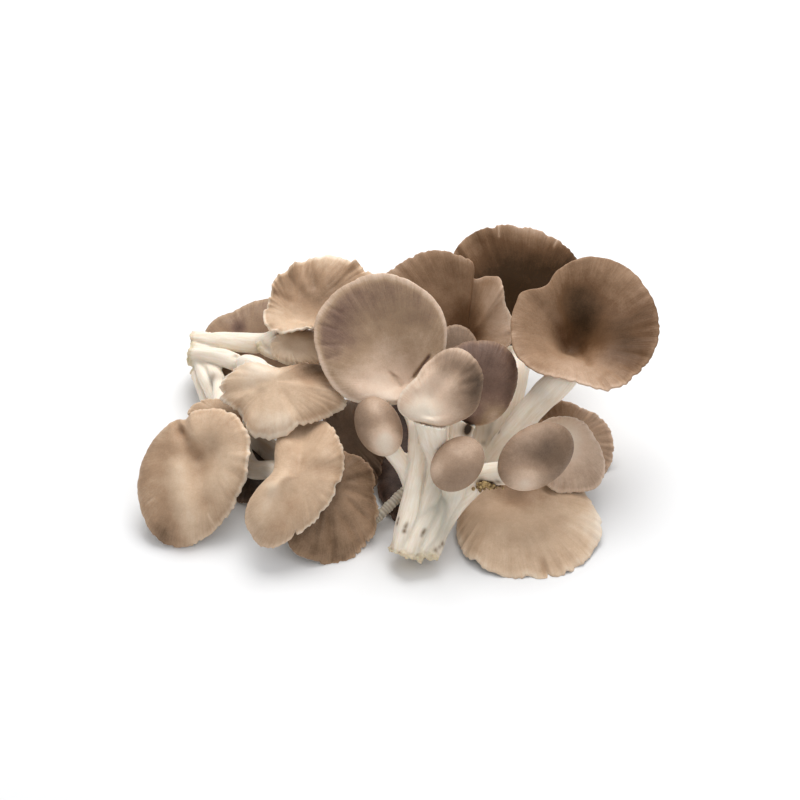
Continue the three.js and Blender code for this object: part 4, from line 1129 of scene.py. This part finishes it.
def make_skin_pattern():
    """Radial streaks, blotches and fine grain of a cap's skin."""
    tree, given, result = new_group(
        "Skin Pattern",
        (("Pigment and shading", "Float"), ("Ray", "Vector"), ("Streaks", "Float"), ("Blotches", "Float"),
         ("Relief", "Float")),
        (("Pigment and shading", "Float"), ("Roughness", "Float"), ("Normal", "Vector")),
    )
    place = put(tree, "TexCoord").outputs["Object"]
    reach = put(tree, "SeparateXYZ", {"Vector": given["Ray"]}).outputs["Z"]
    streak = noise(tree, stretched(tree, given["Ray"], STREAKS), 1.0, 5.0, 0.65)
    fine_streak = noise(tree, stretched(tree, given["Ray"], FINE_STREAKS), 1.0, 3.0, 0.6)
    blotch = noise(tree, place, 130.0, 5.0, 0.6)
    grain = noise(tree, place, 1500.0, 3.0, 0.6)
    outer = ranged(tree, reach, 0.35, 1.0)
    both = calc(tree, "MULTIPLY_ADD", fine_streak, 0.4, calc(tree, "MULTIPLY", streak, 0.6))
    streaks = calc(tree, "MULTIPLY", calc(tree, "SUBTRACT", both, 0.5),
                   calc(tree, "MULTIPLY", given["Streaks"], outer))
    blotches = calc(tree, "MULTIPLY", calc(tree, "SUBTRACT", blotch, 0.5), given["Blotches"])
    speckles = calc(tree, "MULTIPLY_ADD", calc(tree, "SUBTRACT", grain, 0.5), SPECKLES, blotches)
    total = calc(tree, "ADD", calc(tree, "ADD", given["Pigment and shading"], streaks), speckles)
    tree.links.new(total, result["Pigment and shading"])
    tree.links.new(ranged(tree, blotch, 0.3, 0.7, 0.46, 0.64), result["Roughness"])
    relief = calc(tree, "MULTIPLY_ADD", both, outer, calc(tree, "MULTIPLY", grain, GRAIN_RELIEF))
    tree.links.new(raised(tree, relief, given["Relief"]), result["Normal"])


def make_gill_tint():
    """Cream gills, with painted shade in the gaps between them, and darker in soft blotches."""
    tree, given, result = new_group(
        "Gill Tint",
        (("Edge", "Color"), ("Gap shade", "Color"), ("Gill", "Float")),
        (("Color", "Color"),),
    )
    place = put(tree, "TexCoord").outputs["Object"]
    blotch = noise(tree, place, 160.0)
    share = calc(tree, "MULTIPLY_ADD", blotch, 0.5, calc(tree, "MULTIPLY", given["Gill"], 0.75))
    bounded = put(tree, "Clamp", {"Value": share}).outputs[0]
    tree.links.new(blend_colors(tree, bounded, given["Gap shade"], given["Edge"]), result["Color"])


def shade(material):
    """Empties a material and gives it a new surface shader."""
    material.use_nodes = True
    tree = material.node_tree
    tree.nodes.clear()
    surface = put(tree, "BsdfPrincipled")
    output = put(tree, "OutputMaterial", {"Surface": surface.outputs[0]})
    output.is_active_output = True
    return tree, surface


def flesh_gloss(surface, depth, weight):
    """Soft light inside the flesh; every value is set on the shader itself."""
    surface.inputs["Subsurface Weight"].default_value = weight
    surface.inputs["Subsurface Radius"].default_value = (1.0, 0.62, 0.42)
    surface.inputs["Subsurface Scale"].default_value = depth
    surface.inputs["Specular IOR Level"].default_value = 0.24


def skin_material(slot):
    """The skin of a cap: browned and streaked above, with painted shade and light from its spots and
    creases; cream gills below, with painted shade between them.
    """
    material = bpy.data.materials.get("Skin " + slot)
    if material:
        return material
    material = bpy.data.materials.new("Skin " + slot)
    tree, surface = shade(material)
    colors = bpy.context.scene.mushroom_colors
    pattern = place_group(tree, "Skin Pattern", {
        "Pigment and shading": read(tree, "pigment_and_shading"), "Ray": read(tree, "ray", "Vector"),
        "Streaks": colors.streaks, "Blotches": colors.blotches, "Relief": SKIN_RELIEF,
    })
    ramp = put(tree, "ValToRGB", {0: pattern["Pigment and shading"]})
    stops = ramp.color_ramp.elements
    for place, code in zip(np.linspace(0, 1, len(SKIN_TONES[slot])), SKIN_TONES[slot]):
        stop = stops[0] if place == 0 else stops[-1] if place == 1 else stops.new(place)
        stop.color = (*paint(code), 1)
    gills = place_group(tree, "Gill Tint", {
        "Edge": (*colors.gill_edge, 1), "Gap shade": (*colors.gill_gap_shade, 1), "Gill": read(tree, "gill"),
    })["Color"]
    below = ranged(tree, read(tree, "underside"), 0.35, 0.8)
    color = blend_colors(tree, below, ramp.outputs[0], gills)
    tree.links.new(color, surface.inputs["Base Color"])
    tree.links.new(pattern["Roughness"], surface.inputs["Roughness"])
    tree.links.new(pattern["Normal"], surface.inputs["Normal"])
    flesh_gloss(surface, 1.6 * MM, 0.12)
    return material


def stem_material():
    """Cream stem flesh: fibres, crumbly cut ends, greyed places, stains, cracks, and painted shade in
    grooves, hollows and holes.
    """
    material = bpy.data.materials.get("Stem flesh")
    if material:
        return material
    material = bpy.data.materials.new("Stem flesh")
    tree, surface = shade(material)
    colors = bpy.context.scene.mushroom_colors
    place = put(tree, "TexCoord").outputs["Object"]
    along = stretched(tree, read(tree, "grain", "Vector"), STEM_FIBRES)
    fibres = noise(tree, along, 1.0, 6.0, 0.65)
    blotch = noise(tree, place, 110.0, 4.0)
    grain = noise(tree, place, 1100.0, 4.0, 0.7)
    ridges = ranged(tree, fibres, 0.35, 0.62)
    color = blend_colors(tree, ridges, colors.stem_shade, colors.stem)
    tint = ranged(tree, blotch, 0.45, 0.75, 0, 0.45)
    color = blend_colors(tree, tint, color, colors.stem_tint)
    crumb = calc(tree, "MULTIPLY", read(tree, "cut"), calc(tree, "MULTIPLY_ADD", grain, 0.9, 0.2))
    color = blend_colors(tree, crumb, color, colors.cut)
    # The greyed value also darkens the grooves between stems with painted shade.
    color = blend_colors(tree, read(tree, "greyed"), color, colors.greyed)
    stain_and_shade = read(tree, "stain_and_shade")
    color = blend_colors(tree, stain_and_shade, color, colors.stain_and_shade)
    # Painted shade: where a mark is strongest, the depth of a crack or hole is near-black.
    hole = ranged(tree, stain_and_shade, HOLE_SHADE_FROM, 1.0, 0, HOLE_SHADE_SHARE)
    color = blend_colors(tree, hole, color, colors.hole)
    tree.links.new(color, surface.inputs["Base Color"])
    tree.links.new(ranged(tree, blotch, 0, 1, 0.45, 0.65), surface.inputs["Roughness"])
    relief = calc(tree, "MULTIPLY_ADD", grain, 0.25, fibres)
    tree.links.new(raised(tree, relief, STEM_RELIEF), surface.inputs["Normal"])
    flesh_gloss(surface, 4 * MM, 0.35)
    return material


def crumb_material():
    """Pale and dark crumbs of the bed that the mushrooms grew on."""
    material = bpy.data.materials.new("Bed crumbs")
    tree, surface = shade(material)
    colors = bpy.context.scene.mushroom_colors
    lump = noise(tree, put(tree, "TexCoord").outputs["Object"], 420.0, 3.0, 0.6)
    color = blend_colors(tree, ranged(tree, lump, 0.38, 0.62), colors.stain_and_shade, colors.crumb)
    tree.links.new(color, surface.inputs["Base Color"])
    surface.inputs["Roughness"].default_value = 0.8
    return material


# ---- stage
def build_stage(settings):
    """The floor, two soft lights, the pale room round them and the camera."""
    bm = bmesh.new()
    bmesh.ops.create_circle(bm, cap_ends=True, segments=96, radius=settings.floor_radius)
    mesh = mesh_of(bm, "floor_disc")
    floor = bpy.data.objects.new("floor", mesh)
    bpy.context.scene.collection.objects.link(floor)
    material = bpy.data.materials.new("Floor paper")
    tree, surface = shade(material)
    place = put(tree, "TexCoord").outputs["Object"]
    fibre = noise(tree, place, 500.0)
    color = blend_colors(tree, fibre, settings.floor, [0.99 * part for part in settings.floor])
    tree.links.new(color, surface.inputs["Base Color"])
    surface.inputs["Roughness"].default_value = 0.9
    surface.inputs["Specular IOR Level"].default_value = 0.1
    mesh.materials.append(material)

    def soft_light(name, place, size, energy):
        light = bpy.data.lights.new(name, "AREA")
        light.shape = "DISK"
        light.size = size
        light.energy = energy
        lamp = bpy.data.objects.new(name, light)
        lamp.location = place
        ahead = Vector(LIT_PLACE) - Vector(place)
        lamp.rotation_euler = ahead.to_track_quat("-Z", "Y").to_euler()
        bpy.context.scene.collection.objects.link(lamp)

    soft_light("key", KEY_PLACE, KEY_SIZE, settings.key)
    soft_light("fill", FILL_PLACE, FILL_SIZE, settings.fill)

    world = bpy.data.worlds.new("white room")
    world.use_nodes = True
    background = world.node_tree.nodes["Background"]
    background.inputs["Color"].default_value = ROOM_WHITE
    background.inputs["Strength"].default_value = settings.room
    bpy.context.scene.world = world
    bpy.context.scene.view_settings.view_transform = "Standard"

    camera = bpy.data.cameras.new("camera")
    camera.lens = LENS_LENGTH
    camera.sensor_width = SENSOR_WIDTH
    camera.clip_end = 20
    viewer = bpy.data.objects.new("camera", camera)
    viewer.location = CAMERA_PLACE
    viewer.rotation_euler = (radians(90 - CAMERA_RISE), 0, 0)
    bpy.context.scene.collection.objects.link(viewer)
    bpy.context.scene.camera = viewer


# ---- what a user may change
def color_property(name, description, code):
    """A colour property whose default is a display colour such as 0xD8C4AC."""
    return bpy.props.FloatVectorProperty(
        name=name, description=description, default=paint(code), subtype="COLOR", size=3,
        min=0, max=1)


class MushroomSizes(bpy.types.PropertyGroup):
    """Sizes of the fine shapes."""

    gill_depth: bpy.props.FloatProperty(
        name="Gill depth", description="Height of the gills under a cap", default=1.5 * MM,
        min=0, unit="LENGTH", precision=4)
    unevenness: bpy.props.FloatProperty(
        name="Unevenness", description="Height of the soft waves in a cap's skin",
        default=0.17 * MM, min=0, unit="LENGTH", precision=5)
    ragged: bpy.props.FloatProperty(
        name="Ragged rims", description="How frayed the caps' rims are", default=1, min=0)
    crease: bpy.props.FloatProperty(
        name="Stem creases", description="Height of the lengthwise creases of a stem",
        default=0.17 * MM, min=0, unit="LENGTH", precision=5)
    crumbs: bpy.props.IntProperty(
        name="Crumbs", description="Number of crumbs stuck to the stems", default=60, min=0)
    voxel: bpy.props.FloatProperty(
        name="Stem fineness", description="Size of the facets of the stems",
        default=0.8 * MM, min=0.3 * MM, unit="LENGTH", precision=5)


class MushroomColors(bpy.types.PropertyGroup):
    """Colours of the flesh and the strength of the skin's pattern."""

    stem: color_property("Stem", "Colour of the stems", 0xF6EBDC)
    stem_shade: color_property("Stem creases", "Colour in the creases of the stems", 0xEADAC4)
    stem_tint: color_property("Stem tint", "Cool tint of older stem flesh", 0xE4E0D4)
    cut: color_property("Cut flesh", "Colour of the crumbly cut ends", 0xC9B68E)
    # Also the colour of the painted shade in the grooves between the stems.
    greyed: color_property("Greyed flesh", "Colour of wet, greyed flesh", 0xA5A596)
    # Also the colour of the painted shade in the stems' hollows and holes.
    stain_and_shade: color_property("Stain", "Colour of stains and cracks", 0x5F4526)
    # Painted shade: the near-black depth of a crack or hole.
    hole: color_property("Hole", "Colour of the depth of a crack or hole", 0x1E140C)
    crumb: color_property("Crumbs", "Pale colour of the crumbs on the stems", 0xC8AC78)
    gill_edge: color_property("Gill edge", "Colour of the gills' edges", 0xE6D6C2)
    # Painted shade between the gills.
    gill_gap_shade: color_property("Gill gap", "Colour between the gills", 0x9A8068)
    streaks: bpy.props.FloatProperty(
        name="Streaks", description="Strength of the streaks that run to the rim", default=0.42,
        min=0)
    blotches: bpy.props.FloatProperty(
        name="Blotches", description="Strength of the blotches in the skin", default=0.3, min=0)


class MushroomStage(bpy.types.PropertyGroup):
    """Floor and light."""

    floor: bpy.props.FloatVectorProperty(
        name="Floor", description="Colour of the floor", subtype="COLOR", size=3,
        default=(0.85, 0.85, 0.85), min=0, max=1)
    floor_radius: bpy.props.FloatProperty(
        name="Floor radius", description="Radius of the floor", default=3, min=0.5,
        unit="LENGTH")
    key: bpy.props.FloatProperty(
        name="Key light", description="Power of the light above and behind", default=9.8, min=0,
        unit="POWER")
    fill: bpy.props.FloatProperty(
        name="Fill light", description="Power of the light in front", default=2.6, min=0,
        unit="POWER")
    room: bpy.props.FloatProperty(
        name="Room light", description="Strength of the light from all round", default=0.54,
        min=0)


# ---- operators
class CapOperator:
    """Shared work of the operators that build caps."""

    bl_options = {"REGISTER", "UNDO"}
    caps = ()

    def execute(self, context):
        for name in self.caps:
            build_cap(name, context.scene.mushroom_sizes)
        return {"FINISHED"}


class MUSHROOM_OT_materials(bpy.types.Operator):
    """Make the shader node groups that the skins share"""

    bl_idname = "mushroom.materials"
    bl_label = "Skin Patterns"

    def execute(self, context):
        make_skin_pattern()
        make_gill_tint()
        return {"FINISHED"}


class MUSHROOM_OT_front_caps(CapOperator, bpy.types.Operator):
    """Build the caps and buds of the front clump"""

    bl_idname = "mushroom.front_caps"
    bl_label = "Front Caps"
    caps = tuple(name for name in CAPS if name.startswith("front"))


class MUSHROOM_OT_right_caps(CapOperator, bpy.types.Operator):
    """Build the caps of the right clump"""

    bl_idname = "mushroom.right_caps"
    bl_label = "Right Caps"
    caps = tuple(name for name in CAPS if name.startswith("right"))


class MUSHROOM_OT_left_caps(CapOperator, bpy.types.Operator):
    """Build the caps of the left clump"""

    bl_idname = "mushroom.left_caps"
    bl_label = "Left Caps"
    caps = tuple(name for name in CAPS if name.startswith("left"))


class MUSHROOM_OT_stems(bpy.types.Operator):
    """Build the stems of all three clumps, the small ribbed stem and the crumbs"""

    bl_idname = "mushroom.stems"
    bl_label = "Stems"

    def execute(self, context):
        for name in BUTTS:
            build_stems(name, context.scene.mushroom_sizes)
        build_ribbed_stem()
        build_crumbs(context.scene.mushroom_sizes)
        return {"FINISHED"}


class MUSHROOM_OT_stage(bpy.types.Operator):
    """Build the floor, the lights and the camera"""

    bl_idname = "mushroom.stage"
    bl_label = "Stage"

    def execute(self, context):
        build_stage(context.scene.mushroom_stage)
        return {"FINISHED"}


OPERATORS = (
    MUSHROOM_OT_materials, MUSHROOM_OT_front_caps, MUSHROOM_OT_right_caps,
    MUSHROOM_OT_left_caps, MUSHROOM_OT_stems, MUSHROOM_OT_stage,
)


class MUSHROOM_PT_panel(bpy.types.Panel):
    """Lists the operators and their values"""

    bl_label = "Oyster Mushroom Cluster"
    bl_space_type = "VIEW_3D"
    bl_region_type = "UI"
    bl_category = "Mushrooms"

    def draw(self, context):
        for group in ("mushroom_sizes", "mushroom_colors", "mushroom_stage"):
            values = getattr(context.scene, group)
            for name in values.bl_rna.properties.keys():
                if name not in ("rna_type", "name"):
                    self.layout.prop(values, name)
        for operator in OPERATORS:
            self.layout.operator(operator.bl_idname)


CLASSES = (MushroomSizes, MushroomColors, MushroomStage, *OPERATORS, MUSHROOM_PT_panel)


def register():
    for each in CLASSES:
        bpy.utils.register_class(each)
    bpy.types.Scene.mushroom_sizes = bpy.props.PointerProperty(type=MushroomSizes)
    bpy.types.Scene.mushroom_colors = bpy.props.PointerProperty(type=MushroomColors)
    bpy.types.Scene.mushroom_stage = bpy.props.PointerProperty(type=MushroomStage)


def unregister():
    for name in ("mushroom_sizes", "mushroom_colors", "mushroom_stage"):
        delattr(bpy.types.Scene, name)
    for each in reversed(CLASSES):
        bpy.utils.unregister_class(each)


def main():
    register()
    bpy.ops.mushroom.materials()
    bpy.ops.mushroom.front_caps()
    bpy.ops.mushroom.right_caps()
    bpy.ops.mushroom.left_caps()
    bpy.ops.mushroom.stems()
    bpy.ops.mushroom.stage()


if __name__ == "__main__":
    main()
